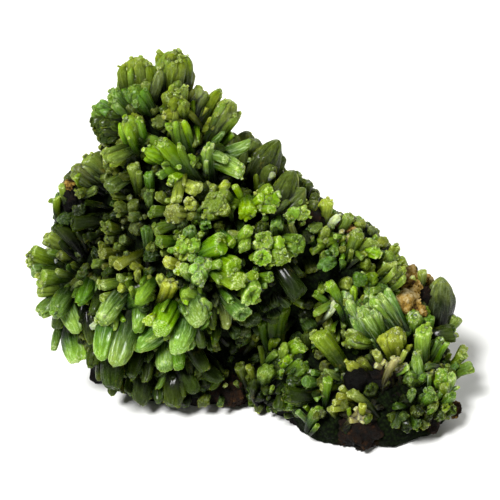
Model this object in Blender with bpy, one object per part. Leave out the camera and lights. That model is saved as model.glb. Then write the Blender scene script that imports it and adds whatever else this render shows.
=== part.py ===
"""Pyromorphite specimen: a crust of green hexagonal crystals on a loose piece of limonite rock.

The specimen is 70 mm wide and rests on a flat that is cut across the bottom of its rock. The rock is
one solid, and the crystals, which grew together over the whole of it, are a second one. Crystals are
listed as they are read from the front view: the place of the tip in a picture plane, the way that the
crystal points there, how far it leans towards the eye, its length and its width. The root of each one
is then found where that line of sight meets the crust.

Lengths are in millimetres up to the last step, which turns them to metres.
"""

import math
import random

import bmesh
import bpy
from mathutils import Vector, noise

MM = 0.001

# The front view: the eye looks along +Y and down, and the picture plane runs through the specimen.
EYE_ELEVATION = math.radians(30)
EYE_DISTANCE = 300
PICTURE_MIDDLE = (-0.08, 31.04)
PICTURE_PLACE = Vector((-0.08, 0.84, 23.46))

# The rock: round lumps as (x, y, z, half width, half depth, half height).
ROCK_LUMPS = (
    (-9, 3, 4, 17, 11, 11),
    (15, -2, 3, 16, 12, 9),
    (18, -8, 2, 12.5, 10.5, 7.5),
    (-19, 0, 16, 9.5, 9, 10),
    (-7, -1, 23, 13, 10.5, 12),
    (-12, 3, 32, 9, 9, 10),
    (-24.5, 4, 28.5, 4.5, 5, 6.5),
    (-15, 4, 41.5, 6.5, 6, 6.5),
    (2, 3, 26, 9, 9, 8.5),
    (12, 2, 18, 10, 9.5, 8.5),
    (20, 2, 11, 8, 9.5, 7.5),
)
ROCK_GRID = 0.9
ROCK_TRIANGLES = 720
ROCK_WAVE = 7.0
ROCK_WAVE_HEIGHT = 1.1
ROCK_GRAIN = 2.6
ROCK_GRAIN_HEIGHT = 0.6

# Knobs of rock that show through the crust, as (x, u in the picture, radius).
ROCK_KNOBS = (
    (26, 24.3, 3.8),
    (14.3, 33.6, 3.0),
    (-28.4, 38.4, 2.8),
    (19, 11.2, 3.6),
    (24, 6.5, 3.8),
    (0, 8.6, 3.2),
    (17.5, 3.2, 3.6),
)
KNOB_SHOWS = 0.7

# Knobs of rock on the back, as (x, y, z, radius).
BACK_KNOBS = (
    (-16, 11.5, 13, 4.2),
    (-4, 11.0, 17, 4.0),
    (7, 9.5, 14.5, 3.8),
    (22, 9.0, 11, 3.6),
)

# The crust: a skin over the rock that the crystals stand on. Its lower edge starts at a place on the
# front and rises towards the back, where the rock lies bare.
SKIN_THICKNESS = 2.0
SKIN_EDGE = Vector((0, -8, 2.5))
SKIN_EDGE_RISE = math.radians(24)
SKIN_TRIANGLES = 560
# The crust stands off the rock by the first gap; the closer cut clears sharp hollows.
JOINT_GAPS = (0.35, 0.15)
MOST_SHELL = 1.3
CRYSTAL_LOWEST = 0.5
# Points closer than this after a cut are made one.
CLOSEST_POINTS = 0.01

LIMONITE_BROWN = (0.055, 0.035, 0.022, 1)
PYROMORPHITE_GREEN = (0.16, 0.32, 0.035, 1)

# How deep a crystal's root goes below the skin's surface.
ROOT_DEPTH = 2.2
# A crystal as (share of its length, share of its width), from its root to its flat end.
SLIM_CRYSTAL = ((0.0, 0.8), (1.0, 1.0))
BARREL_CRYSTAL = ((0.0, 0.8), (0.72, 1.06), (1.0, 0.78))
BARREL_WIDTH = 4.2
# Each solid crystal also stands for the small ones that grew against it.
CRYSTAL_GIRTH = 1.18
CRYSTAL_SIDES = 6
FRONT_SEED = 7
BACK_SEED = 11

# Crystals of the hidden sides: how many places are tried on each lump, how far apart the kept ones
# are, their sizes, and how much of the front hides one that is not to show over the outline.
BACK_TRIES = 150
BACK_SPACING = 5.3
BACK_LENGTH = (4.5, 7.5)
BACK_WIDTH = (2.6, 4.2)
BACK_TILT = 0.4
BACK_OVER_EDGE = 2.0
BACK_FACING = 0.05
BACK_SHORTER = (1.0, 0.8, 0.6, 0.45)
FRONT_COVER = 4.5
GOLDEN_ANGLE = math.pi * (3 - math.sqrt(5))

# Crystals of the front, by place: (x, u) of the tip, turn in the picture from the right, lean
# towards the eye, length and width. Angles are in degrees.
CROWN = (
    (-18, 61, 95, 20, 8, 4.6), (-12.2, 61.8, 88, 25, 8, 5.2), (-8.8, 59, 72, 5, 5, 2),
    (-7.4, 57, 75, 10, 5, 3.2), (-4.8, 56.1, 60, 10, 6, 2), (-2.6, 54.6, 62, 12, 8, 4.2),
    (-11.7, 56, 100, 55, 5.5, 4.4), (-21.9, 56, 135, 20, 5.5, 3.4), (-20.2, 58, 115, 30, 3.5, 2.2),
    (-18.6, 56.5, 128, 40, 6, 3.2), (-16, 57.6, 82, 30, 4.5, 2.2), (-24.8, 53.6, 142, 10, 7, 4),
    (-24.8, 50.2, 190, 5, 5, 3.8), (-23.8, 47.9, 215, 10, 4, 3), (-19, 51.9, 108, 40, 6, 3.3),
    (-14.2, 48, 133, 22, 7.5, 2.5), (-16.6, 46.7, 155, 45, 5, 2.2), (-23.2, 45, 203, 25, 6, 2.7),
    (-20.3, 48.4, 115, 20, 3.5, 2.2), (-13.8, 51.8, 195, 40, 3.5, 2), (-12.1, 51.8, 112, 22, 6, 2.8),
    (-8, 50.6, 180, 50, 3, 2.4),
)
RIDGE = (
    (0.1, 48.1, 22, 10, 6, 2.3), (0.6, 49.5, 78, 8, 7, 4), (4.7, 47.9, 55, 12, 7, 3.8),
    (5.8, 44.6, 5, 10, 6, 3), (6.9, 43, 50, 8, 6, 3), (8.8, 40.2, 35, 8, 6, 2.8),
    (3.9, 43, 32, 20, 4, 1.6), (3, 41.5, 60, 30, 4.5, 3), (8.5, 38.7, 70, 30, 3, 1.7),
)
HEART = (
    (-6.4, 47.6, 95, 35, 5, 2.4), (-1.2, 42.8, 338, 30, 6, 2.7), (-9.1, 45.2, 20, 55, 3.5, 2),
    (-12.4, 41.6, 218, 30, 5, 2.4), (-11.6, 38.2, 260, 35, 5, 1.9), (-8, 40.3, 330, 35, 5, 2.2),
    (-6, 38.9, 150, 65, 4.5, 4.2), (-0.6, 36.2, 285, 50, 4.5, 2.6), (4.2, 39.2, 22, 45, 5.5, 3.4),
    (2.6, 38, 350, 55, 4, 2.6), (-9.6, 38.4, 180, 70, 3.5, 1.9), (-12.6, 36.8, 190, 45, 4.5, 3),
    (-9.8, 34.6, 100, 35, 3, 2), (-11.2, 31.8, 170, 50, 3.5, 2.2), (-8.9, 32.3, 95, 55, 3.5, 2.1),
    (-4, 32.4, 28, 35, 6, 2.9), (-1.1, 31, 282, 45, 4.5, 2), (1.8, 32.6, 90, 80, 4.5, 2.7),
    (5, 32.3, 20, 45, 4.5, 1.9), (7.8, 31.9, 358, 45, 5, 2.8), (2.1, 29.8, 300, 80, 4.5, 2.5),
    (4.6, 29.8, 340, 75, 4.5, 2.8), (6.4, 36.2, 260, 60, 4, 2.3), (8.2, 36.4, 300, 60, 4, 2.1),
    (4, 34.2, 280, 45, 3.5, 1.9), (1.6, 35, 110, 40, 3.5, 2), (-8.1, 29.2, 100, 65, 4.5, 3.8),
    (-7.7, 25.6, 275, 35, 4.5, 2.1), (-2.3, 28.2, 335, 45, 5.5, 2.8), (-1.4, 25.9, 328, 48, 5.5, 2.8),
    (0.6, 27.4, 35, 50, 4, 1.9), (0.2, 23.6, 298, 50, 5.5, 3), (-0.9, 20.8, 310, 40, 5.5, 2.6),
)
HOLLOW = (
    (-25.7, 45.6, 138, 12, 4.5, 2.2), (-28.2, 44.2, 145, 8, 5, 3), (-22.2, 40.3, 205, 30, 5, 2.3),
    (-18.2, 38.6, 115, 50, 3.5, 1.9), (-27.9, 35.4, 185, 12, 6, 2.5), (-22.6, 34.6, 170, 45, 3.5, 1.9),
    (-22.3, 32.6, 200, 50, 3, 1.9), (-18.2, 34.4, 200, 70, 3.5, 2.3), (-16.2, 34.8, 92, 22, 4.5, 1.9),
    (-25.2, 30.4, 348, 18, 6.5, 3), (-26.4, 27, 333, 20, 7, 3), (-34.3, 31, 162, 20, 4.5, 2.4),
    (-34.7, 29.4, 190, 15, 4.5, 2.6), (-32, 33.2, 140, 12, 4.5, 2.6), (-30.2, 35.3, 130, 8, 4.5, 2.6),
    (-32.9, 26.4, 175, 28, 4.5, 2.6), (-33.2, 24.8, 184, 20, 4.5, 1.9), (-12.2, 26.6, 65, 42, 4.5, 2.7),
)
SKIRT = (
    (-26.5, 22.6, 250, 45, 4.5, 2.8), (-33, 21, 215, 15, 5, 2.7), (-30.2, 21, 232, 50, 5.5, 3.3),
    (-26.5, 18.2, 290, 25, 6.5, 2.9), (-24.6, 21, 250, 35, 4, 2.2), (-30.2, 18.7, 250, 20, 4.5, 2.5),
    (-26, 13.2, 300, 15, 8.5, 4.4), (-24.5, 16.2, 275, 10, 5, 2.2), (-23.3, 19.8, 232, 30, 5.5, 3.1),
    (-23.2, 13.9, 258, 20, 8, 2.8), (-21.2, 12.9, 255, 20, 9, 3.2), (-21.5, 9.4, 262, 10, 6, 3.4),
    (-18.6, 15.6, 218, 20, 6.5, 3), (-17.7, 18.1, 266, 25, 5, 2.2), (-17.6, 22.8, 235, 45, 4.5, 2.6),
    (-15, 24.3, 20, 40, 4.5, 3), (-16.3, 19.9, 207, 40, 6, 2.4), (-14, 18.3, 242, 45, 6, 3.2),
    (-11.5, 14.8, 256, 30, 6.5, 3.5), (-13.2, 12.3, 266, 30, 6, 3), (-11, 12.5, 276, 25, 5, 2),
    (-13.7, 11.8, 132, 15, 6, 3.1), (-18.6, 11, 245, 20, 5, 2.8), (-17, 7.6, 262, 15, 4, 2.8),
    (-10.5, 24.4, 150, 50, 3.5, 2.2), (-7.4, 23.2, 60, 60, 5, 3.4), (-7.9, 19.4, 290, 55, 5.5, 3.7),
    (-3.6, 18.6, 278, 30, 5, 2), (-5.7, 18.6, 280, 30, 4, 2.1), (-7.4, 15.8, 278, 20, 4.5, 2),
    (-6.8, 12, 300, 15, 6, 2.2),
)
FOOT = (
    (3.9, 17.5, 70, 50, 4, 2), (8.2, 16.5, 40, 20, 5.5, 2.5), (8.8, 13.2, 30, 25, 5.5, 2.5),
    (2.8, 12.6, 90, 65, 4.5, 2.9), (4.8, 22.8, 92, 25, 7.5, 3.6), (1.8, 20.9, 88, 35, 4.5, 2.2),
    (7.9, 23.6, 305, 15, 8, 2.8),
)
SLOPE = (
    (12, 39, 78, 20, 4.5, 2.4), (11.2, 34.1, 90, 78, 3.5, 1.9), (16.9, 34.2, 68, 20, 4, 2.2),
    (10.4, 32.5, 185, 35, 4.5, 2), (11.1, 28.7, 200, 75, 4.5, 2.2), (20.1, 30.5, 340, 25, 6, 1.9),
    (19.6, 32.4, 40, 15, 4, 2.6), (22.7, 31.9, 72, 22, 4, 1.9), (21.6, 30.8, 80, 35, 3, 2),
    (24.1, 28.7, 35, 30, 5.5, 3.1), (16.8, 26.9, 155, 30, 4.5, 2), (18.2, 26, 128, 20, 9, 3.6),
    (16.7, 23.4, 126, 20, 8, 3.8), (13.4, 25.6, 118, 15, 8.5, 3.5), (15, 26.8, 125, 8, 6, 2.4),
    (10, 18.3, 128, 20, 8, 2.8), (14.4, 17.3, 178, 40, 5.5, 3),
)
TOE = (
    (12.1, 11.3, 85, 30, 3.5, 1.4), (10.8, 9.9, 185, 30, 3, 1.3), (8.5, 8.2, 248, 30, 3, 1.3),
    (5, 8.8, 178, 25, 5, 2.3), (6.8, 6.9, 350, 30, 3, 1.5), (4.2, 6.2, 250, 20, 4, 1.8),
    (11, 6.5, 60, 35, 3, 1.8), (15.2, 9.1, 140, 25, 4.5, 1.4), (17.5, 7.4, 85, 35, 2.5, 1.3),
)
FAR_RIGHT = (
    (30, 27.5, 82, 15, 6, 3.3), (31.3, 23.8, 58, 10, 4.5, 2.2), (32.1, 21, 45, 10, 4.5, 2.4),
    (31.7, 18, 10, 5, 4.5, 2.6), (25.3, 20.8, 90, 60, 3.5, 2.3), (27.7, 20.8, 85, 40, 3.5, 1.8),
    (27, 19.1, 92, 25, 6.5, 2.8), (29.3, 17.3, 55, 25, 4, 1.9), (22.4, 18.6, 98, 50, 5.5, 3.3),
    (20.3, 17.8, 112, 38, 5, 2.2), (33.2, 14.9, 52, 15, 4, 1.6), (34.7, 13, 25, 15, 4.5, 1.8),
    (29.3, 12.2, 100, 50, 3.5, 2.1), (31.3, 11.8, 60, 45, 3.5, 2), (24, 11.4, 190, 40, 4.5, 2.5),
    (25.6, 15, 102, 20, 4.5, 1.8), (28.3, 8.6, 60, 50, 3.5, 2.1), (31.6, 8.8, 40, 35, 3.5, 1.6),
    (15, 13.4, 150, 30, 3, 1.7),
)

REGIONS = (CROWN, RIDGE, HEART, HOLLOW, SKIRT, FOOT, SLOPE, TOE, FAR_RIGHT)


def clear_scene():
    """Remove what a new scene starts with."""
    for thing in list(bpy.data.objects):
        bpy.data.objects.remove(thing, do_unlink=True)


class FrontView:
    """The eye of the front view and its picture plane, which runs through the specimen."""

    def __init__(self):
        self.right = Vector((1, 0, 0))
        self.up = Vector((0, math.sin(EYE_ELEVATION), math.cos(EYE_ELEVATION)))
        self.away = Vector((0, math.cos(EYE_ELEVATION), -math.sin(EYE_ELEVATION)))
        self.eye = PICTURE_PLACE - self.away * EYE_DISTANCE

    def sight(self, x, u):
        """The direction from the eye to a place in the picture."""
        across = self.right * (x - PICTURE_MIDDLE[0])
        upward = self.up * (u - PICTURE_MIDDLE[1])
        return (self.away * EYE_DISTANCE + across + upward).normalized()

    def at_depth(self, x, u, depth):
        """The point seen at a place in the picture, at a depth along the middle line of sight."""
        line = self.sight(x, u)
        return self.eye + line * (depth / line.dot(self.away))

    def depth_of(self, point):
        return (point - self.eye).dot(self.away)


class Lump:
    """One round lump of rock, grown by a skin."""

    def __init__(self, lump, growth):
        self.middle = Vector(lump[:3])
        self.radii = Vector([radius + growth for radius in lump[3:]])

    def scaled(self, vector):
        return Vector([vector[axis] / self.radii[axis] for axis in range(3)])

    def level(self, point):
        """Under one inside the lump, one on its surface, and more outside."""
        return self.scaled(point - self.middle).length

    def outward(self, point):
        """The direction straight out of the lump at a point on it."""
        return self.scaled(self.scaled(point - self.middle)).normalized()

    def reach(self, start, line):
        """How far along a line the lump is met, or None, and the point of the line nearest to it."""
        here, way = self.scaled(start - self.middle), self.scaled(line)
        square, half = way.dot(way), here.dot(way)
        nearest = start + line * (-half / square)
        inside = half * half - square * (here.dot(here) - 1)
        if inside < 0:
            return None, nearest
        return (-half - math.sqrt(inside)) / square, nearest


class Mound:
    """All the lumps together, as one rounded mass."""

    def __init__(self, growth):
        self.lumps = [Lump(lump, growth) for lump in ROCK_LUMPS]

    def meet(self, view, x, u):
        """Where a line of sight meets the mound, or the place on it that is nearest to the line."""
        line = view.sight(x, u)
        met = [(lump.reach(view.eye, line), lump) for lump in self.lumps]
        hits = [(found[0], lump) for found, lump in met if found[0] is not None]
        if hits:
            far, lump = min(hits, key=lambda hit: hit[0])
            place = view.eye + line * far
            return place, lump.outward(place)
        misses = [(lump.level(found[1]), found[1], lump) for found, lump in met]
        level, nearest, lump = min(misses, key=lambda miss: miss[0])
        place = lump.middle + (nearest - lump.middle) / level
        return place, lump.outward(place)

    def hides(self, view, point):
        """Whether the mound stands between the eye and a point."""
        line = point - view.eye
        reaches = [lump.reach(view.eye, line)[0] for lump in self.lumps]
        return any(reach is not None and reach < 1 for reach in reaches)


def new_object(name, bm):
    """An object that holds a bmesh, still in millimetres."""
    mesh = bpy.data.meshes.new(name)
    bm.to_mesh(mesh)
    bm.free()
    thing = bpy.data.objects.new(name, mesh)
    bpy.context.scene.collection.objects.link(thing)
    return thing


def apply_modifiers(thing):
    """Replace an object's mesh by the one that its modifiers make."""
    depsgraph = bpy.context.evaluated_depsgraph_get()
    old = thing.data
    thing.data = bpy.data.meshes.new_from_object(thing.evaluated_get(depsgraph))
    thing.modifiers.clear()
    bpy.data.meshes.remove(old)


def add_lump(bm, middle, radii):
    """Add a round lump, drawn on a fine icosphere."""
    made = bmesh.ops.create_icosphere(bm, subdivisions=4, radius=1)
    for vert in made["verts"]:
        vert.co = Vector((vert.co[axis] * radii[axis] + middle[axis] for axis in range(3)))


def roughen(thing):
    """Give the lumps the ledges and hollows of broken rock."""
    mesh = thing.data
    normals = [vert.normal.copy() for vert in mesh.vertices]
    for vert, normal in zip(mesh.vertices, normals):
        wave = noise.noise(vert.co / ROCK_WAVE) * ROCK_WAVE_HEIGHT
        grain = noise.noise(vert.co / ROCK_GRAIN) * ROCK_GRAIN_HEIGHT
        vert.co += normal * (wave + grain)


def grown_lumps(name, growth, knobs, triangles):
    """One closed, facetted solid over all the lumps."""
    bm = bmesh.new()
    for lump in ROCK_LUMPS:
        add_lump(bm, lump[:3], [radius + growth for radius in lump[3:]])
    for middle, radius in knobs:
        add_lump(bm, middle, (radius, radius, radius))
    thing = new_object(name, bm)
    shell = thing.modifiers.new("one skin", "REMESH")
    shell.mode = "VOXEL"
    shell.voxel_size = ROCK_GRID
    apply_modifiers(thing)
    roughen(thing)
    fewer = thing.modifiers.new("facets", "DECIMATE")
    fewer.ratio = triangles / sum(len(face.vertices) - 2 for face in thing.data.polygons)
    fewer.use_collapse_triangulate = True
    apply_modifiers(thing)
    return thing


def cut_off(thing, place, rise=0):
    """Cut off what a closed solid has below a plane, which may rise to the back, and close the cut."""
    bm = bmesh.new()
    bm.from_mesh(thing.data)
    everything = bm.verts[:] + bm.edges[:] + bm.faces[:]
    upward = (0, -math.sin(rise), math.cos(rise))
    bmesh.ops.bisect_plane(bm, geom=everything, dist=1e-5, plane_co=place, plane_no=upward,
                           clear_inner=True)
    rim = [edge for edge in bm.edges if edge.is_boundary]
    bmesh.ops.contextual_create(bm, geom=rim)
    bmesh.ops.recalc_face_normals(bm, faces=bm.faces[:])
    bm.to_mesh(thing.data)
    bm.free()


def place_knobs(view, mound):
    """Set each knob just under the skin's surface, so that a little of it stands out."""
    knobs = []
    for x, u, radius in ROCK_KNOBS:
        place, outward = mound.meet(view, x, u)
        knobs.append((place + outward * (KNOB_SHOWS - radius), radius))
    for x, y, z, radius in BACK_KNOBS:
        knobs.append((Vector((x, y, z)), radius))
    return knobs


def add_crystal(bm, root, tip, width, spin):
    """Add one hexagonal crystal: narrow at its root, widest near its flat end."""
    axis = (tip - root).normalized()
    side = axis.orthogonal().normalized()
    other = axis.cross(side)
    stations = BARREL_CRYSTAL if width >= BARREL_WIDTH else SLIM_CRYSTAL
    rings = []
    for along, girth in stations:
        middle = root.lerp(tip, along)
        ring = []
        for corner in range(CRYSTAL_SIDES):
            angle = spin + corner * math.tau / CRYSTAL_SIDES
            arm = side * math.cos(angle) + other * math.sin(angle)
            ring.append(bm.verts.new(middle + arm * (width * girth / 2)))
        rings.append(ring)
    for low, high in zip(rings, rings[1:]):
        for corner in range(CRYSTAL_SIDES):
            after = (corner + 1) % CRYSTAL_SIDES
            bm.faces.new((low[corner], low[after], high[after], high[corner]))
    bm.faces.new(rings[-1])
    bm.faces.new(rings[0][::-1])


def front_crystals(bm, view, mound):
    """Add the crystals that the front view shows, rooted where their line of sight meets the skin."""
    dice = random.Random(FRONT_SEED)
    for region in REGIONS:
        for x, u, turn, lean, length, width in region:
            turn, lean = math.radians(turn), math.radians(lean)
            shown = length * math.cos(lean)
            root = mound.meet(view, x - shown * math.cos(turn), u - shown * math.sin(turn))[0]
            depth = view.depth_of(root) - length * math.sin(lean)
            tip = view.at_depth(x, u, depth)
            inward = (root - tip).normalized() * ROOT_DEPTH
            add_crystal(bm, root + inward, tip, width * CRYSTAL_GIRTH, dice.uniform(0, math.tau))


def over_edge(place):
    """How far a place lies above the plane where the crust ends."""
    return (place - SKIN_EDGE).dot(Vector((0, -math.sin(SKIN_EDGE_RISE), math.cos(SKIN_EDGE_RISE))))


def hidden_places(view, mound):
    """Evenly spread places on the sides of the mound that the eye does not see."""
    places = []
    for lump in mound.lumps:
        for count in range(BACK_TRIES):
            height = 1 - 2 * (count + 0.5) / BACK_TRIES
            ring = math.sqrt(1 - height * height)
            angle = count * GOLDEN_ANGLE
            ball = Vector((ring * math.cos(angle), ring * math.sin(angle), height))
            place = lump.middle + Vector([ball[axis] * lump.radii[axis] for axis in range(3)])
            outward = lump.outward(place)
            buried = any(other is not lump and other.level(place) < 1 for other in mound.lumps)
            crowded = any((place - kept[0]).length < BACK_SPACING for kept in places)
            turned_away = outward.dot(view.away) > BACK_FACING
            if turned_away and over_edge(place) > BACK_OVER_EDGE and not buried and not crowded:
                places.append((place, outward))
    return places


def back_crystals(bm, view, mound):
    """Cover the hidden sides, with no crystal showing over the outline of the front view."""
    dice = random.Random(BACK_SEED)
    front = Mound(FRONT_COVER)
    for place, outward in hidden_places(view, mound):
        tilt = Vector([dice.uniform(-BACK_TILT, BACK_TILT) for _ in range(3)])
        way = (outward + tilt).normalized()
        length = dice.uniform(*BACK_LENGTH)
        width = dice.uniform(*BACK_WIDTH)
        spin = dice.uniform(0, math.tau)
        for share in BACK_SHORTER:
            tip = place + way * (length * share)
            if front.hides(view, tip):
                add_crystal(bm, place - way * ROOT_DEPTH, tip, width, spin)
                break


def combine(thing, other, operation):
    """Join another closed solid to this one, or cut it away."""
    step = thing.modifiers.new(operation, "BOOLEAN")
    step.operation = operation
    step.solver = "EXACT"
    step.use_self = True
    step.object = other
    apply_modifiers(thing)
    bpy.data.objects.remove(other, do_unlink=True)
    weld_slivers(thing)


def weld_slivers(thing):
    """Merge the nearly coinciding points that a cut leaves where many faces cross."""
    bm = bmesh.new()
    bm.from_mesh(thing.data)
    bmesh.ops.dissolve_degenerate(bm, dist=CLOSEST_POINTS, edges=bm.edges[:])
    bmesh.ops.remove_doubles(bm, verts=bm.verts[:], dist=CLOSEST_POINTS)
    bmesh.ops.triangulate(bm, faces=bm.faces[:])
    bm.to_mesh(thing.data)
    bm.free()


def swollen(thing, amount):
    """A copy of a solid with every face moved outwards."""
    bm = bmesh.new()
    bm.from_mesh(thing.data)
    bm.normal_update()
    moves = [vert.normal * amount * min(vert.calc_shell_factor(), MOST_SHELL) for vert in bm.verts]
    for vert, move in zip(bm.verts, moves):
        vert.co += move
    return new_object("room for " + thing.name, bm)


def keep_largest(thing):
    """Keep the one body that has most faces, and drop crumbs that the cuts set free."""
    bm = bmesh.new()
    bm.from_mesh(thing.data)
    left = set(bm.faces)
    bodies = []
    while left:
        body, border = set(), [left.pop()]
        while border:
            face = border.pop()
            body.add(face)
            for edge in face.edges:
                if len(edge.link_faces) == 2:
                    fresh = [other for other in edge.link_faces if other in left]
                    left.difference_update(fresh)
                    border.extend(fresh)
        bodies.append(body)
    bodies.sort(key=len, reverse=True)
    for body in bodies[1:]:
        bmesh.ops.delete(bm, geom=list(body), context="FACES")
    bm.to_mesh(thing.data)
    bm.free()


def finish(thing, name, color, roughness):
    """Name the solid, turn it to metres and give it its material."""
    thing.name = name
    thing.data.name = name
    for vert in thing.data.vertices:
        vert.co *= MM
    material = bpy.data.materials.new(name)
    material.use_nodes = True
    shader = material.node_tree.nodes["Principled BSDF"]
    shader.inputs["Base Color"].default_value = color
    shader.inputs["Roughness"].default_value = roughness
    shader.inputs["Metallic"].default_value = 0
    thing.data.materials.clear()
    thing.data.materials.append(material)


def main():
    clear_scene()
    view = FrontView()
    mound = Mound(SKIN_THICKNESS)
    crust = grown_lumps("crust", SKIN_THICKNESS, (), SKIN_TRIANGLES)
    cut_off(crust, SKIN_EDGE, SKIN_EDGE_RISE)
    rock = grown_lumps("rock", 0, place_knobs(view, mound), ROCK_TRIANGLES)
    bm = bmesh.new()
    front_crystals(bm, view, mound)
    back_crystals(bm, view, mound)
    combine(crust, new_object("crystals", bm), "UNION")
    for gap in JOINT_GAPS:
        combine(crust, swollen(rock, gap), "DIFFERENCE")
    cut_off(crust, (0, 0, CRYSTAL_LOWEST))
    keep_largest(crust)
    cut_off(rock, (0, 0, 0))
    finish(rock, "matrix", LIMONITE_BROWN, 0.85)
    finish(crust, "crystal_crust", PYROMORPHITE_GREEN, 0.3)


main()
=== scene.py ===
"""Looks of the pyromorphite specimen: its crystals, the drusy skin between them, the rock and a stage.

Laid out as a Blender add-on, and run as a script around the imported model. Lengths are in millimetres
up to the last step of each mesh, which turns them to metres.
"""

import colorsys
import math
import random
from collections import namedtuple
from functools import partial

import bpy
import bmesh
import numpy as np
from bpy.props import FloatProperty, FloatVectorProperty, PointerProperty
from bpy.types import Operator, Panel, PropertyGroup
from mathutils import Matrix, Quaternion, Vector, noise


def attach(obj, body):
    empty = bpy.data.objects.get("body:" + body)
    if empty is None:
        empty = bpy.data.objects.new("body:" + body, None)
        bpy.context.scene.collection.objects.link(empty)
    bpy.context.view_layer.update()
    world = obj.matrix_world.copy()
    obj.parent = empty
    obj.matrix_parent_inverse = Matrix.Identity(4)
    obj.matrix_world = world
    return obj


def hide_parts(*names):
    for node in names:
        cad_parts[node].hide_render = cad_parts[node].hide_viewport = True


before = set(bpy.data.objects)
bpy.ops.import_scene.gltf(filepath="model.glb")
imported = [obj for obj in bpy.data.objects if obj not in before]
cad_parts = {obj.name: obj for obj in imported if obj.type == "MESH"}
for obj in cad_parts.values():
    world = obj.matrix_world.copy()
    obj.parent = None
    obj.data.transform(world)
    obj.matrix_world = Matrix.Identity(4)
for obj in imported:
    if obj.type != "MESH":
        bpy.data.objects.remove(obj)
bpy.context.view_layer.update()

bl_info = {
    "name": "Pyromorphite specimen",
    "version": (1, 0, 0),
    "blender": (4, 5, 0),
    "location": "3D View > Sidebar > Specimen",
    "description": "Crystals, drusy skin, rock and stage for a pyromorphite specimen",
    "category": "Object",
}

MM = 0.001

# The front view: the eye looks along +Y and down, and the picture plane runs through the specimen.
EYE_ELEVATION = math.radians(30)
EYE_DISTANCE = 300
PICTURE_MIDDLE = (-0.08, 31.04)
PICTURE_PLACE = Vector((-0.08, 0.84, 23.46))
PICTURE_WIDTH = 77.6
SENSOR_WIDTH = 36.0

# The rock: round lumps as (x, y, z, half width, half depth, half height), the same as the solid's.
ROCK_LUMPS = (
    (-9, 3, 4, 17, 11, 11),
    (15, -2, 3, 16, 12, 9),
    (18, -8, 2, 12.5, 10.5, 7.5),
    (-19, 0, 16, 9.5, 9, 10),
    (-7, -1, 23, 13, 10.5, 12),
    (-12, 3, 32, 9, 9, 10),
    (-24.5, 4, 28.5, 4.5, 5, 6.5),
    (-15, 4, 41.5, 6.5, 6, 6.5),
    (2, 3, 26, 9, 9, 8.5),
    (12, 2, 18, 10, 9.5, 8.5),
    (20, 2, 11, 8, 9.5, 7.5),
)
# Knobs of rock that show through the crust: (x, u in the picture, radius, how ochre they are, how far
# they stand out of the crust).
ROCK_KNOBS = (
    (24.9, 26.8, 1.7, 0.85, 1.0),
    (27.1, 26.0, 1.6, 0.75, 1.0),
    (24.6, 24.8, 2.1, 0.75, 1.7),
    (26.8, 24.3, 2.4, 0.15, 0.9),
    (23.7, 23.0, 1.5, 0.85, 1.5),
    (25.6, 21.9, 1.7, 0.75, 1.2),
    (28.4, 23.4, 2.4, 0.3, 1.0),
    (14.3, 33.8, 2.2, 0.55, 1.2),
    (10, 36.2, 1.8, 0.0, 1.2),
    (-28.2, 38.4, 1.7, -0.2, 0.9),
    (-28.0, 41.3, 0.9, 0.7, 0.8),
    (16.4, 10.8, 1.8, -0.15, 1.4),
    (20.4, 12.0, 2.1, -0.15, 0.6),
    # This knob is sunk and near-black: black rock, and painted shade for the dark cavern under the
    # overhanging crystals.
    (23.5, 6.3, 4.4, -0.35, -1.4),
    (-2, 8.4, 3.0, 0.3, 0.6),
    (17, 2.4, 3.4, 0.05, 0.4),
    (31.5, 6.4, 1.1, 0.4, 0.9),
    (28.6, 4.6, 1.6, 0.1, 0.5),
)
# Knobs of rock on the back: (x, y, z, radius, how ochre they are).
BACK_KNOBS = (
    (-16, 11.5, 13, 4.2, 0.3),
    (-4, 11.0, 17, 4.0, 0.8),
    (7, 9.5, 14.5, 3.8, 0.2),
    (22, 9.0, 11, 3.6, 0.6),
)
BALL_SUBDIVISIONS = 5
# How ochre the rest of the rock is on its front and on its back, and the y between which it turns. The back
# lies in shade and is painted lighter brown, as painted light, so that its relief shows.
BARE_OCHRE_LIGHTER_BACK = (-0.15, 0.28)
BARE_OCHRE_TURNS = (-3, 5)
# The broken rock swells by two waves, and the crust is a skin over it that ends at a sloping plane.
ROCK_WAVE = 7.0
ROCK_WAVE_HEIGHT = 1.1
ROCK_GRAIN = 2.6
ROCK_GRAIN_HEIGHT = 0.6
SKIN_THICKNESS = 2.0
SKIN_EDGE = Vector((0, -8, 2.5))
SKIN_EDGE_RISE = math.radians(24)
# How deep in the skin the crystals are rooted.
ROOT_DEPTH = 2.2

# Crystals of the hidden sides, in the same places as the solid's: how densely places are tried, how far
# apart they are, their sizes and tilts, how far from the crust's edge they stand and how far they face
# away. They are shortened until the front, covered by its crystals, hides them from the eye.
BACK_SEED = 11
BACK_TRIES = 150
BACK_SPACING = 5.3
BACK_LENGTH = (4.5, 7.5)
BACK_WIDTH = (2.6, 4.2)
BACK_TILT = 0.4
BACK_OVER_EDGE = 2.0
BACK_FACING = 0.05
BACK_SHORTER = (1.0, 0.8, 0.6, 0.45)
BACK_TONES = "lgopgo"
FRONT_COVER = 4.5
GOLDEN_ANGLE = math.pi * (3 - math.sqrt(5))

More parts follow.
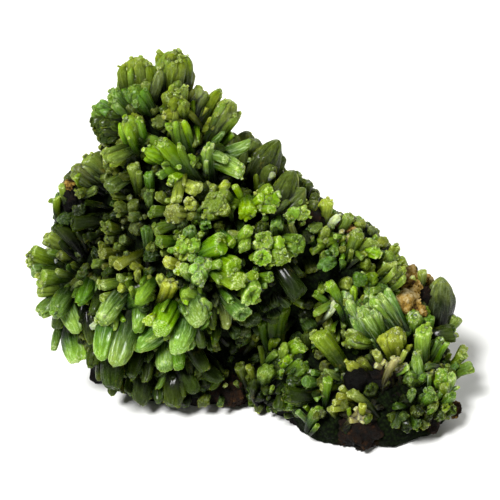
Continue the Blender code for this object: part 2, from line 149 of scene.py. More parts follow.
# Crystals of the front, by place: (x, u) of the tip in the picture, turn there from the right, lean
# towards the eye, length, width and tone. Angles are in degrees.
CROWN = (
    (-18, 61.3, 95, 20, 8, 4.6, "o"), (-12.2, 62.4, 88, 25, 8, 5.2, "o"),
    (-15.3, 59.6, 92, 20, 5, 1.5, "o"), (-13.7, 59.2, 72, 30, 6, 1.8, "k"),
    (-11.9, 59.2, 90, 40, 3.5, 1.7, "o"), (-8.8, 59, 72, 5, 5, 2, "k"), (-7.4, 57, 75, 10, 5, 3.2, "k"),
    (-4.8, 56.1, 60, 10, 6, 2, "o"), (-2.6, 54.6, 62, 12, 8, 4.2, "o"), (-11.7, 56, 100, 55, 5.5, 4.4, "o"),
    (-21.9, 56, 135, 20, 5.5, 3.4, "g"), (-20.2, 58, 115, 30, 3.5, 2.2, "o"),
    (-17.6, 58.3, 90, 50, 3, 1.4, "o"), (-18.6, 56.5, 128, 40, 6, 3.2, "g"),
    (-16, 57.6, 82, 30, 4.5, 2.2, "o"), (-24.8, 53.6, 142, 10, 5, 3.2, "g"),
    (-24.8, 50.2, 190, 5, 5, 3.8, "d"), (-23, 51.4, 170, 15, 5, 3, "d"), (-23.8, 47.9, 215, 10, 4, 3, "d"),
    (-18.3, 53.8, 92, 15, 3, 1.2, "y"), (-19, 51.9, 108, 40, 6, 3.3, "l"),
    (-16.7, 48.6, 150, 20, 4.5, 1.4, "l"), (-14.2, 48, 133, 22, 7.5, 2.5, "l"),
    (-16.6, 46.7, 155, 45, 5, 2.2, "l"), (-23.2, 45, 203, 25, 6, 2.7, "o"),
    (-18.7, 47.1, 5, 20, 2.5, 0.9, "y"), (-20.3, 48.4, 115, 20, 3.5, 2.2, "o"),
    (-13.8, 51.8, 195, 40, 3.5, 2, "y"), (-12.4, 54.1, 98, 25, 3.5, 1.2, "y"),
    (-11.3, 53.8, 85, 25, 3.5, 1.2, "y"), (-12.1, 51.8, 112, 22, 6, 2.8, "l"),
    (-9, 54.5, 103, 20, 4, 1.1, "l"), (-7.6, 53.6, 80, 20, 3, 1, "l"), (-6.6, 53.3, 60, 25, 3, 0.9, "y"),
    (-10, 52.8, 125, 30, 3, 1.1, "y"), (-8, 50.6, 180, 50, 3, 2.4, "y"), (-9.3, 51, 170, 35, 2.5, 0.9, "y"),
    (-5.6, 51.6, 45, 30, 3, 1.1, "y"), (-5.2, 50.2, 10, 35, 3, 1.3, "y"),
    (-8.1, 47.5, 272, 40, 3, 1.4, "l"), (-8.7, 46.6, 285, 30, 2.5, 1.1, "k"),
    (-5.8, 48.6, 300, 40, 3, 1.6, "y"), (-2.7, 49.2, 38, 15, 3.5, 0.9, "l"),
)
RIDGE = (
    (0.1, 48.1, 22, 18, 6, 2.1, "p"), (-0.4, 50, 85, 8, 7, 4.6, "m"), (1.4, 48.9, 62, 6, 7, 4.4, "m"),
    (4.6, 48.4, 66, 12, 7, 4.8, "m"), (5.9, 45.6, 20, 10, 6, 3.6, "m"), (3.4, 44.6, 70, 20, 5, 2.6, "m"),
    (6.8, 43.8, 68, 8, 6, 4, "m"), (8.6, 40.8, 44, 8, 6, 3.6, "m"), (6.2, 40.6, 80, 20, 4, 1.8, "m"),
    (-2.4, 49.8, 84, 5, 6, 3.8, "m"), (-3.6, 46.9, 20, 10, 4, 2, "d"), (2.6, 46.8, 40, 5, 5, 3.8, "m"),
    (-3.6, 48.6, 100, 5, 5, 2.8, "m"), (5.8, 40.3, 95, 15, 3.5, 1.3, "d"), (3.9, 43, 32, 45, 4.5, 1.5, "w"),
    (3, 41.5, 60, 30, 4.5, 3, "o"), (0.9, 43, 92, 20, 3.5, 1.3, "o"), (0.5, 44.9, 350, 30, 3, 1.4, "o"),
    (8.5, 38.7, 70, 30, 3, 1.7, "o"),
)
HEART = (
    (-6.4, 47.6, 95, 35, 5, 2.4, "p"), (-1.2, 42.8, 338, 30, 6, 2.7, "p"), (-10.4, 45.6, 92, 25, 3, 1, "l"),
    (-9.1, 45.2, 20, 55, 3.5, 2, "l"), (-12.4, 41.6, 218, 30, 5, 2.4, "l"),
    (-11.6, 38.2, 260, 35, 5, 1.9, "y"), (-8, 40.3, 330, 35, 5, 2.2, "y"),
    (-7.2, 41.6, 130, 30, 3, 1.4, "k"), (-8.6, 42.6, 125, 25, 4, 1.7, "k"),
    (-6, 38.9, 150, 65, 4.5, 4.2, "o"), (-3.5, 41.6, 60, 30, 3.5, 1.5, "y"),
    (-2.6, 41.2, 115, 22, 4, 1.2, "l"), (-3.6, 38.8, 168, 30, 3, 1.2, "l"),
    (-0.6, 36.2, 285, 50, 4.5, 2.6, "l"), (4.2, 39.2, 22, 45, 5.5, 3.4, "l"),
    (2.6, 38, 350, 55, 4, 2.6, "l"), (1, 40.2, 100, 35, 3, 1.3, "y"), (-9.6, 38.4, 180, 70, 3.5, 1.9, "y"),
    (-15.8, 37, 178, 22, 4.5, 1.7, "l"), (-12.6, 36.8, 190, 45, 4.5, 3, "y"),
    (-12.8, 35.7, 205, 30, 3, 1.6, "l"), (-8.4, 35.3, 280, 35, 3.5, 1.8, "d"),
    (-6.8, 34.3, 300, 30, 3.5, 1.6, "g"), (-15, 33.8, 195, 22, 4.5, 1.8, "l"),
    (-14.6, 32.4, 182, 30, 4, 1.8, "l"), (-9.8, 34.6, 100, 35, 3, 2, "g"),
    (-10.6, 33.9, 118, 30, 3, 1.3, "l"), (-11.2, 31.8, 170, 50, 3.5, 2.2, "l"),
    (-8.9, 32.3, 95, 55, 3.5, 2.1, "l"), (-12.7, 30.8, 200, 40, 2.5, 1.2, "l"),
    (-4, 32.4, 28, 35, 6, 2.9, "l"), (-1.1, 31, 282, 45, 4.5, 2, "l"), (-2.6, 31.8, 320, 45, 3.5, 1.4, "l"),
    (0, 34.6, 58, 35, 4.5, 1.7, "l"), (-3.5, 33.9, 150, 20, 5, 1.8, "k"),
    (1.8, 32.6, 90, 80, 4.5, 2.7, "l"), (5, 32.3, 20, 45, 4.5, 1.9, "l"), (7.8, 31.9, 358, 45, 5, 2.8, "g"),
    (0.1, 30, 200, 60, 3, 1.4, "l"), (2.1, 29.8, 300, 80, 4.5, 2.5, "l"),
    (4.6, 29.8, 340, 75, 4.5, 2.8, "l"), (6.4, 36.2, 260, 60, 4, 2.3, "l"),
    (8.2, 36.4, 300, 60, 4, 2.1, "l"), (4.3, 35.9, 120, 25, 4, 1.7, "k"), (4, 34.2, 280, 45, 3.5, 1.9, "g"),
    (1.6, 35, 110, 40, 3.5, 2, "d"), (-13.4, 29.4, 165, 40, 3.5, 1.8, "y"),
    (-10.3, 30.2, 90, 60, 3, 1.8, "o"), (-11.5, 28.9, 178, 15, 2.5, 0.6, "y"),
    (-8.1, 29.2, 100, 65, 4.5, 3.8, "p"), (-7.7, 25.6, 275, 35, 4.5, 2.1, "p"),
    (-11, 27.2, 250, 40, 3, 1.4, "l"), (-6.8, 29.9, 60, 50, 3, 1.4, "o"),
    (-2.3, 28.2, 335, 45, 5.5, 2.8, "l"), (-1.4, 25.9, 328, 48, 5.5, 2.8, "l"),
    (0.6, 27.4, 35, 50, 4, 1.9, "l"), (3.5, 26.9, 12, 22, 4.5, 1.7, "g"), (0.2, 23.6, 298, 50, 5.5, 3, "l"),
    (-0.9, 20.8, 310, 40, 5.5, 2.6, "g"),
)
HOLLOW = (
    (-25.7, 45.6, 138, 12, 4.5, 2.2, "o"), (-28.2, 44.2, 145, 8, 5, 3, "k"),
    (-26.9, 42.8, 120, 35, 3, 1.3, "o"), (-21.7, 42.7, 5, 25, 3.5, 1.6, "o"),
    (-27.1, 39.6, 192, 30, 4, 1.4, "o"), (-23.8, 40.6, 20, 30, 3, 1.3, "o"),
    (-29.8, 39.6, 95, 10, 3, 1.3, "o"), (-29.4, 41.4, 105, 20, 2.5, 1.2, "o"),
    (-22.2, 40.3, 205, 30, 5, 2.3, "o"), (-21.6, 39.5, 190, 35, 3.5, 1.1, "o"),
    (-18.4, 44.5, 102, 30, 4.5, 1.8, "o"), (-19.6, 43.4, 130, 25, 2.5, 1, "o"),
    (-15.9, 43.2, 95, 25, 4, 1.5, "g"), (-14.5, 42.4, 212, 22, 3.5, 1.3, "g"),
    (-15.9, 40, 100, 60, 3, 1.5, "g"), (-14.5, 39.7, 140, 40, 3.5, 1.5, "o"),
    (-13.2, 38.8, 160, 40, 3, 1.2, "o"), (-21, 38.3, 160, 50, 3.5, 1.7, "o"),
    (-18.2, 38.6, 115, 50, 3.5, 1.9, "o"), (-18.6, 36.3, 180, 70, 3, 1.7, "o"),
    (-22.6, 36.4, 120, 50, 3, 1.5, "d"), (-27.9, 35.4, 185, 12, 6, 2.5, "d"),
    (-22.6, 34.6, 170, 45, 3.5, 1.9, "o"), (-22.3, 32.6, 200, 50, 3, 1.9, "o"),
    (-18.2, 34.4, 200, 70, 3.5, 2.3, "k"), (-16.2, 34.8, 92, 22, 4.5, 1.9, "g"),
    (-19.4, 34.8, 62, 20, 4.5, 1.4, "d"), (-23.4, 31.9, 160, 45, 3, 1.4, "o"),
    (-17.5, 31.8, 32, 20, 4.5, 1.1, "y"), (-23.4, 30.4, 175, 35, 3.5, 1.7, "y"),
    (-21, 28.4, 205, 25, 5, 1.5, "y"), (-16.8, 29.8, 20, 30, 3, 1.5, "o"),
    (-22.3, 27.8, 170, 50, 3, 1.6, "d"), (-25.2, 30.4, 348, 18, 6.5, 3, "o"),
    (-26.4, 27, 333, 20, 7, 3, "k"), (-34.3, 31, 162, 20, 4.5, 2.4, "o"),
    (-34.7, 29.4, 190, 15, 4.5, 2.6, "o"), (-31.4, 31.7, 95, 20, 2.5, 0.9, "w"),
    (-30.6, 29.3, 300, 30, 3, 0.9, "w"), (-32, 33.2, 140, 12, 4.5, 2.6, "o"),
    (-30.2, 35.3, 130, 8, 4.5, 2.6, "d"), (-32.9, 26.4, 175, 28, 4.5, 2.6, "o"),
    (-33.2, 24.8, 184, 20, 4.5, 1.9, "o"), (-24, 25, 20, 40, 3, 1.7, "o"),
    (-34.2, 27.9, 192, 15, 4.5, 2.6, "g"), (-32.4, 27.6, 200, 40, 3.5, 2, "d"),
    (-21, 31.5, 190, 50, 3, 1.5, "o"), (-19.6, 30.4, 180, 60, 3, 1.5, "o"),
    (-22, 29.4, 185, 40, 3, 1.5, "y"), (-18.6, 29, 150, 55, 2.5, 1.3, "y"),
    (-20, 32.8, 170, 60, 3, 1.5, "o"), (-24.6, 28.6, 190, 40, 3, 1.5, "o"),
    (-16, 31.6, 160, 50, 3, 1.4, "o"), (-17.6, 28, 120, 50, 2.5, 1.2, "y"),
    (-20.8, 26.8, 190, 40, 3, 1.4, "o"), (-25.6, 33, 180, 40, 3, 1.6, "d"),
    (-23.4, 25.4, 185, 28, 4, 1.6, "o"), (-23.2, 23.3, 197, 30, 4, 1.7, "o"),
    (-20.3, 25.4, 160, 50, 2.5, 1.4, "y"), (-19.2, 27.3, 112, 40, 3.5, 1.8, "l"),
    (-15.6, 27, 60, 40, 2.5, 1.1, "y"), (-14.2, 27.2, 100, 45, 3, 1.5, "y"),
    (-12.2, 26.6, 65, 42, 4.5, 2.7, "y"),
)
SKIRT = (
    (-26.5, 22.6, 250, 45, 4.5, 2.8, "g"), (-33, 21, 215, 15, 5, 2.7, "g"),
    (-30.2, 21, 232, 50, 5.5, 3.3, "g"), (-26.5, 18.2, 290, 25, 6.5, 2.9, "p"),
    (-24.6, 21, 250, 35, 4, 2.2, "d"), (-30.2, 18.7, 250, 20, 4.5, 2.5, "d"),
    (-26.5, 13.3, 296, 15, 8, 4.8, "p"), (-24.5, 16.2, 275, 10, 5, 2.2, "d"),
    (-23.3, 19.8, 232, 30, 5.5, 3.1, "p"), (-24.8, 18.9, 207, 22, 3.5, 1.4, "w"),
    (-23.6, 17.9, 245, 30, 3, 1.4, "l"), (-21.4, 18.3, 266, 45, 3.5, 1.8, "l"),
    (-23.2, 13.9, 258, 20, 7.5, 3.4, "p"), (-21, 12.9, 255, 20, 8, 3.7, "p"),
    (-24.9, 12.6, 238, 25, 4, 2.4, "d"), (-23.6, 10.8, 250, 22, 4, 2.3, "d"),
    (-21.8, 8.4, 250, 22, 3.5, 2.2, "d"), (-21.5, 9.4, 262, 10, 6, 3.4, "d"),
    (-18.6, 15.6, 218, 20, 6, 3.5, "p"), (-17.7, 18.1, 266, 25, 5, 2.2, "p"),
    (-17.6, 22.8, 235, 45, 4.5, 2.6, "l"), (-15, 24.3, 20, 40, 4.5, 3, "l"),
    (-16.3, 19.9, 207, 40, 6, 2.4, "l"), (-14, 18.3, 242, 45, 6, 3.7, "l"),
    (-11.5, 14.8, 256, 30, 6.5, 3.9, "p"), (-13.2, 12.3, 266, 30, 5.5, 3.5, "p"),
    (-11, 12.5, 276, 25, 5, 2.2, "g"), (-13.7, 11.8, 132, 15, 6, 3.1, "g"),
    (-16.5, 10.3, 266, 20, 5, 1.8, "d"), (-18.6, 11, 245, 20, 5, 2.8, "d"),
    (-17, 7.6, 262, 15, 4, 2.8, "d"), (-10.5, 24.4, 150, 50, 3.5, 2.2, "l"),
    (-11.9, 23.3, 125, 20, 4, 0.8, "p"), (-9.8, 22.6, 270, 40, 3, 1.3, "l"),
    (-7.4, 23.2, 60, 60, 5, 3.4, "p"), (-7.9, 19.4, 290, 55, 5.5, 3.7, "p"),
    (-6, 20.6, 330, 45, 3.5, 1.6, "g"), (-4.5, 21.8, 2, 12, 2.5, 1.1, "l"),
    (-3.6, 18.6, 278, 30, 5, 2, "k"), (-5.7, 18.6, 280, 30, 4, 2.1, "d"),
    (-7.4, 15.8, 278, 20, 4.5, 2, "d"), (-5.6, 16.3, 272, 30, 3.5, 1.6, "d"),
    (-6.8, 12, 300, 15, 6, 2.2, "d"), (-19.2, 8.8, 240, 12, 4, 2.2, "d"),
    (-17.2, 6.8, 258, 10, 5, 3.4, "d"), (-14.2, 7.2, 280, 25, 3.5, 2.4, "d"),
    (-12.2, 6.6, 262, 8, 5, 3.2, "d"), (-14.6, 9.4, 250, 30, 3, 1.4, "g"),
    (-8.4, 8.6, 300, 15, 4.5, 2.8, "d"), (-9.6, 11, 262, 15, 4, 1.6, "d"),
    (-4.4, 10.6, 315, 20, 4, 2.2, "d"), (-6.2, 9.2, 250, 20, 3, 1.3, "d"),
)
FOOT = (
    (-5, 11.9, 108, 30, 3.5, 1.6, "o"), (-1.9, 13.3, 108, 40, 3.5, 1.6, "o"),
    (-0.5, 13.3, 105, 30, 3.5, 1.3, "y"), (1.3, 18.4, 55, 30, 3.5, 1.3, "y"),
    (0, 18, 125, 30, 2.5, 0.8, "l"), (3.9, 17.5, 70, 50, 4, 2, "l"), (5.3, 18, 42, 30, 2.5, 0.9, "l"),
    (5.5, 16.5, 72, 35, 5.5, 1.6, "l"), (6.1, 14.6, 40, 35, 4.5, 1.6, "l"),
    (8.2, 16.5, 40, 20, 5.5, 2.5, "l"), (8.8, 13.2, 30, 25, 5.5, 2.5, "g"),
    (1.5, 16.3, 97, 12, 4, 0.9, "o"), (2.8, 12.6, 90, 65, 4.5, 2.9, "l"), (3.4, 14.2, 50, 15, 2, 0.6, "p"),
    (0.6, 10.9, 100, 45, 3, 1.8, "d"), (2.4, 9.4, 90, 50, 3, 1.6, "d"), (8.2, 10.7, 180, 40, 3.5, 1.8, "g"),
    (4.8, 22.8, 92, 25, 7.5, 3.6, "l"), (2.7, 21.9, 75, 25, 4.5, 1.2, "o"),
    (1.8, 20.9, 88, 35, 4.5, 2.2, "o"), (7.9, 23.6, 305, 15, 8, 2.8, "d"),
    (8.8, 22.3, 335, 20, 3.5, 1.2, "o"),
)
SLOPE = (
    (12, 39, 78, 20, 4.5, 2.4, "y"), (15.5, 36.8, 58, 20, 4.5, 1.6, "o"), (14, 36.6, 50, 20, 4, 1.4, "w"),
    (13.2, 22.9, 50, 35, 3, 1.1, "w"), (11.2, 34.1, 90, 78, 3.5, 1.9, "o"), (9, 34.6, 110, 30, 2.5, 1, "g"),
    (16.9, 34.2, 68, 20, 4, 2.2, "o"), (10.4, 32.5, 185, 35, 4.5, 2, "l"),
    (9.2, 30.6, 205, 25, 3.5, 1.2, "l"), (11.1, 28.7, 200, 75, 4.5, 2.2, "g"),
    (14.1, 29.4, 268, 30, 3, 0.9, "g"), (15.6, 29.2, 272, 30, 3, 0.9, "g"),
    (16.7, 29.7, 285, 30, 2.5, 0.8, "g"), (13, 30.3, 250, 45, 3, 1.6, "g"),
    (20.1, 30.5, 340, 25, 6, 1.9, "l"), (19.6, 32.4, 40, 15, 4, 2.6, "o"),
    (22.7, 31.9, 72, 22, 4, 1.9, "o"), (21.6, 30.8, 80, 35, 3, 2, "o"), (23.5, 30.1, 60, 25, 3, 1.8, "o"),
    (24.1, 28.7, 35, 30, 5.5, 3.1, "o"), (21.4, 27.7, 90, 70, 3, 1.6, "d"),
    (20.9, 29.2, 68, 20, 2.5, 0.7, "p"), (21.4, 25.6, 212, 25, 3.5, 1.3, "l"),
    (16.8, 26.9, 155, 30, 4.5, 2, "l"), (18.2, 26, 124, 24, 9, 3.9, "p"), (16.7, 23.4, 120, 26, 8, 4, "p"),
    (19.2, 22.7, 118, 25, 5, 1.7, "l"), (16.9, 20.6, 132, 30, 3, 1.4, "l"),
    (12, 26.1, 112, 20, 4.5, 1.6, "l"), (9.9, 24.5, 140, 25, 3.5, 1.1, "l"),
    (16, 25.5, 85, 20, 3, 1.1, "l"), (13.4, 25.8, 118, 24, 8.5, 3.6, "p"), (15, 26.8, 125, 8, 6, 2.4, "d"),
    (9.7, 20.9, 207, 20, 4.5, 1.3, "l"), (11.5, 20.5, 120, 30, 4, 1.6, "o"),
    (10, 18.3, 128, 20, 8, 2.8, "o"), (8.7, 18.3, 110, 30, 3, 1.4, "d"), (14.4, 17.3, 178, 40, 5.5, 3, "o"),
    (19, 18.4, 8, 20, 2.5, 0.9, "l"), (14.2, 34.1, 100, 40, 2, 0.9, "c"), (15.4, 33.3, 60, 40, 2, 0.9, "c"),
    (13.5, 32.7, 170, 40, 2, 0.8, "c"),
)
TOE = (
    (12.1, 11.3, 85, 30, 3.5, 1.4, "l"), (10.8, 9.9, 185, 30, 3, 1.3, "o"),
    (8.5, 8.2, 248, 30, 3, 1.3, "p"), (10, 7.8, 217, 20, 3.5, 1, "p"), (5, 8.8, 178, 25, 5, 2.3, "d"),
    (6.7, 8.6, 20, 25, 2.5, 0.9, "g"), (6.8, 6.9, 350, 30, 3, 1.5, "g"), (4.2, 6.2, 250, 20, 4, 1.8, "d"),
    (8.4, 7, 90, 15, 2.5, 0.9, "l"), (7.2, 6.1, 130, 20, 2, 0.9, "g"), (11, 6.5, 60, 35, 3, 1.8, "l"),
    (9.3, 4.6, 118, 15, 2, 0.8, "g"), (11.8, 5.4, 55, 15, 3, 0.7, "l"), (12.2, 6.6, 100, 20, 3.5, 1.1, "y"),
    (15.2, 9.1, 140, 25, 4.5, 1.4, "y"), (14, 9.8, 130, 30, 2.5, 1, "y"), (13.4, 8.3, 165, 30, 3, 1.1, "y"),
    (12.8, 7.3, 180, 30, 3, 1, "y"), (12.5, 6.4, 195, 30, 3, 1, "y"), (15.2, 6.7, 85, 15, 2, 0.7, "l"),
    (17.5, 7.4, 85, 35, 2.5, 1.3, "y"), (17.8, 6.6, 45, 20, 3, 1, "c"), (16.4, 5.2, 200, 20, 2.5, 1.2, "c"),
    (18.3, 4.9, 350, 20, 2.5, 0.8, "c"), (15.3, 4.6, 185, 20, 2.2, 0.9, "c"),
    (17.2, 4.2, 240, 20, 2, 0.9, "c"), (16.2, 6.6, 120, 25, 2, 0.8, "c"),
    (22.4, 3.4, 260, 30, 2.5, 1.4, "g"), (24.4, 2.9, 280, 25, 2.5, 1.6, "d"),
    (26, 3.6, 300, 40, 2.5, 1.5, "g"), (27.6, 3.4, 310, 30, 2.5, 1.4, "o"),
    (21.4, 4.9, 200, 40, 2.5, 1.3, "o"), (23.6, 5, 250, 60, 2.5, 1.5, "g"),
    (26, 5.4, 300, 60, 2.5, 1.4, "o"), (22.2, 6.8, 180, 50, 2.5, 1.2, "g"),
)
FAR_RIGHT = (
    (29.6, 27.5, 84, 15, 7, 5.2, "k"), (31.2, 23.8, 66, 10, 5, 3, "k"), (32.1, 21, 45, 10, 4.5, 2.4, "o"),
    (31.7, 18, 10, 5, 4.5, 2.6, "d"), (29.8, 18.2, 274, 15, 3.8, 1, "g"),
    (25.3, 20.8, 90, 60, 3.5, 2.3, "p"), (27.7, 20.8, 85, 40, 3.5, 1.8, "g"),
    (27, 19.1, 92, 25, 6.5, 2.8, "l"), (29.3, 17.3, 55, 25, 4, 1.9, "g"),
    (22.4, 18.6, 98, 50, 5.5, 3.3, "y"), (20.3, 17.8, 112, 38, 5, 2.2, "y"),
    (18.4, 17.3, 142, 30, 3.5, 1.5, "g"), (19.3, 15.4, 110, 35, 3, 1.3, "y"),
    (26.6, 28.1, 80, 25, 3, 1.5, "o"), (33.4, 16.3, 62, 10, 4.5, 1.5, "o"),
    (33.2, 14.9, 52, 15, 4, 1.6, "o"), (34.7, 13, 25, 15, 4.5, 1.8, "g"),
    (29.3, 12.2, 100, 50, 3.5, 2.1, "l"), (31.3, 11.8, 60, 45, 3.5, 2, "p"),
    (28, 12.6, 105, 30, 2.5, 1.1, "y"), (24, 11.4, 190, 40, 4.5, 2.5, "g"),
    (26.9, 11.3, 300, 70, 3, 1.5, "g"), (25.6, 15, 102, 20, 4.5, 1.8, "p"),
    (24.1, 15.5, 62, 15, 3.5, 0.9, "y"), (24.6, 13, 18, 20, 3, 1, "l"), (28.3, 8.6, 60, 50, 3.5, 2.1, "g"),
    (31.6, 8.8, 40, 35, 3.5, 1.6, "g"), (23.4, 8.1, 150, 40, 3, 1.3, "d"), (15, 13.4, 150, 30, 3, 1.7, "y"),
    (22.9, 14.4, 68, 20, 4.5, 1.4, "c"), (21.4, 13.6, 100, 25, 2.5, 1.1, "c"),
    (24.4, 13.1, 20, 20, 2.5, 1.1, "c"), (22.2, 12.9, 150, 35, 2, 1, "c"),
    (20.4, 13.8, 140, 25, 2.5, 1, "c"), (19.3, 13.2, 160, 30, 2.5, 0.9, "c"),
    (22, 14.6, 110, 20, 3, 0.8, "c"), (23.7, 26.4, 150, 20, 2.5, 1, "c"),
    (24.3, 25.2, 195, 25, 2, 0.9, "c"), (25, 27, 110, 25, 2, 0.8, "y"), (28.6, 7.2, 80, 60, 3, 1.8, "o"),
    (30.4, 6.8, 60, 50, 3, 1.6, "o"), (31.8, 6.4, 40, 40, 3, 1.6, "d"), (29.8, 5, 330, 40, 2.5, 1.5, "d"),
    (27.8, 4.8, 300, 30, 2.5, 1.4, "d"), (26.2, 6.6, 100, 70, 2.5, 1.4, "d"),
    (25.2, 9.4, 60, 40, 3, 1.3, "g"), (27.6, 9.6, 110, 30, 3, 1.4, "g"), (30, 10.4, 80, 50, 3, 1.6, "o"),
    (23.6, 23.9, 215, 25, 2, 0.8, "c"),
)

REGIONS = {
    "crown": CROWN,
    "ridge": RIDGE,
    "heart": HEART,
    "hollow": HOLLOW,
    "skirt": SKIRT,
    "foot": FOOT,
    "slope": SLOPE,
    "toe": TOE,
    "far_right": FAR_RIGHT,
}
FRONT_SEED = 7

# Tones of the crystals: letter, name, colour at the tip, colour of the body, how silky the sides are.
TONES = (
    ("l", "lime", "82A620", "365A06", 0.15),
    ("y", "yellow_green", "9AA63A", "4A570C", 0.1),
    ("o", "olive", "798E2A", "2F4208", 0.15),
    ("g", "leaf_green", "5F8422", "203806", 0.25),
    # d: green darkened as painted shade, for crystals that lie in shade.
    ("d", "shaded_green", "34460D", "0C1302", 0.05),
    ("p", "silky_green", "83A63C", "3B6415", 0.8),
    ("k", "grey_green", "74803A", "28350A", 0.3),
    ("c", "cream", "9C9760", "5A562C", 0.3),
    ("m", "moss_green", "5A6A26", "2E3A0E", 0.1),
    # w: pale crystals that are partly frost and partly painted highlight, for white glints on glassy
    # crystals.
    ("w", "frosted_glint_green", "B4C293", "56653A", 0.7),
)
TONE_NAMES = {letter: name for letter, name, _, _, _ in TONES}
SILKINESS = {letter: silk for letter, _, _, _, silk in TONES}
# How much the hue, the saturation and the brightness of tip and body vary from crystal to crystal.
HUE_VARIES = 0.012
FILL_VARIES = (0.94, 1.06)
TIP_VARIES = (0.82, 1.18)
BODY_VARIES = (0.75, 1.25)
# Tones whose crystals end in a smooth dome.
DOMED_TONES = "km"

# How finely a crystal is drawn: points round it for each millimetre of width, the fewest and most of
# them, how many a single rod has, the shares of its length where its sides have a ring, the shares of
# its end's width where that has one, and how bright its foot is against its end.
Fineness = namedtuple("Fineness", "per_mm least most single steps rings foot")
FINE = Fineness(4.2, 20, 46, 12, (0.0, 0.2, 0.4, 0.58, 0.74, 0.86, 0.94, 1.0), (0.88, 0.68, 0.44, 0.2), 0)
PLAIN = Fineness(3.2, 12, 26, 12, (0.0, 0.35, 0.65, 0.85, 1.0), (0.7, 0.35), 0)
TINY = Fineness(3.2, 6, 6, 6, (0.0, 1.0), (), 0.75)
LISTED_GIRTH = 1.15

# How a crystal is grown from a core and thinner rods round it. In shares of its half width: the
# core, how thin and thick the rods are, and how far its rim stands back from its middle. In
# millimetres: how far rods stand back at random, and how deep the core is cupped. Last, how many more
# rods stand in its middle for each millimetre of its width.
Form = namedtuple("Form", "core thin thick domed ragged cupped bumps")
FORMS = {
    "flower": Form(0.80, 0.22, 0.38, 0.12, 0.35, 0.0, 0.25),
    "blunt": Form(0.92, 0.18, 0.34, 0.08, 0.25, 0.0, 0.12),
    "sheaf": Form(0.62, 0.30, 0.46, 0.20, 1.30, 0.0, 0.5),
    "knob": Form(0.74, 0.24, 0.40, 0.65, 0.45, 0.0, 1.75),
    "hopper": Form(0.84, 0.22, 0.36, 0.00, 0.40, 0.9, 0),
    "dome": Form(0.97, 0.14, 0.24, 0.80, 0.12, 0.0, 0),
    "leaf": Form(0.90, 0.22, 0.46, 0.30, 0.80, 0.0, 0.5),
}
REGION_FORMS = {
    "crown": ("flower", "knob", "knob", "knob"),
    "ridge": ("dome",),
    "heart": ("flower", "flower", "blunt", "hopper"),
    "hollow": ("sheaf", "blunt", "flower"),
    "skirt": ("leaf", "leaf", "blunt"),
    "foot": ("sheaf", "flower"),
    "slope": ("sheaf", "sheaf", "flower"),
    "toe": ("flower", "blunt"),
    "far_right": ("flower", "hopper", "sheaf", "blunt"),
}

# The rods of a crystal. A thin crystal is a single rod.
Rod = namedtuple("Rod", "x y radius spin back cup")
SINGLE_ROD_WIDTH = 1.2
SINGLE_ROD_SHARE = 0.87
SINGLE_RIM = 0.12
SINGLE_RINGS = (0.55,)
# The core: its size, how far it may stand back in millimetres, and its deepest cup for its width.
CORE_SHARE = 0.9
CORE_BACK = 0.25
CUP_SHARE = 0.25
# A rod of the rim: how far out it reaches, how far the next one is, and how it turns and stands back.
RIM_OUT = (0.93, 1.07)
ROD_STEP = (1.2, 2.3)
ROD_SPIN = 1.05
RAGGED_POWER = 1.5
# A rod of the middle: how far out it stands, and how far back.
BUMP_OUT = (0.1, 0.6)
BUMP_BACK = (-0.2, 0.5)
# The end: its slope, each rod's bevel and bulge, how far a rod's end spreads over its neighbours, the deepest
# place, how much painted shade falls on what lies deep and over what depth, and how much darker the middle of
# an end is painted than its rim, which gives the rim a painted highlight.
END_SLOPE = 0.25
BEVEL = 0.12
BEVEL_SHARE = 0.25
BEVEL_RING = 0.25
END_BULGE = 0.04
ROD_OVERLAP = 1.1
END_DEEPEST = 0.4
END_GROOVE_SHADE = 0.7
END_GROOVE_SHADE_DEPTH = 2.6
END_SHADE = (0.02, 0.2)
# The rim stands back a little, and more in the notches between rods.
RIM_BACK = 0.1
RIM_NOTCH = 0.3
# The sides: their girth without grooves, how deep the grooves are at the foot against the end, how
# flat and how bowed the column is.
SMOOTH_SHARE = 0.44
FOOT_GROOVE = 0.2
FLATNESS = (0.72, 1.0)
BOW = 0.08
# Roughness of sides and end: the size of its lumps and how far they stand out.
SIDE_GRAIN = 1.1
SIDE_ROUGH = 0.05
END_GRAIN = 0.7
END_ROUGH = 0.07
END_FROM = 0.8
# The lumpy field behind that: waves in random directions, and over how many millimetres of it the
# crystals are strewn.
GRAIN_SEED = 3
GRAIN_COUNT = 12
GRAIN_PHASE = 2.3
GRAIN_SPAN = 3.5
GRAIN_FIELD = 50
TINIEST = 1e-6

# Outlines. A rod tapers towards its foot, a flare is low + rise * share ** power wide at a share of its
# length, and the others bulge: low + rise * sin(pi * (start + run * share)). All but rods have a
# rounded shoulder.
ROD_TAPER = 0.1
FLARE = (0.64, 0.36, 0.8)
BULGES = {"leaf": (0.62, 0.42, 0.06, 0.84), "barrel": (0.72, 0.32, 0.08, 0.80)}
SHOULDER = 0.05
SHOULDER_LENGTH = 0.1

# Crystals that lean against a listed one: from which width it has them, how many, their sizes as shares
# of its own, the thinnest and thickest in millimetres, how far they lean and how dark they are.
COMPANION_FROM = 1.5
COMPANION_COUNTS = (1, 2, 2, 3)
COMPANION_LENGTH = (0.45, 0.88)
COMPANION_SHARE = 0.65
COMPANION_WIDTH = (0.9, 1.9)
COMPANION_FOOT = 0.36
COMPANION_JITTER = 0.2
COMPANION_SPREAD = (math.radians(3), math.radians(24))
COMPANION_DIM = (0.5, 0.85)

# Small and hidden crystals stay within the outline of the mound as the eye sees it: how thick its skin
# is there, and the shares of their length that are tried.
OUTLINE_SKIN = 1.5
OUTLINE_SKIN_BACK = 0.6
OUTLINE_SHARES = (1.0, 0.75, 0.55, 0.4, 0.28)

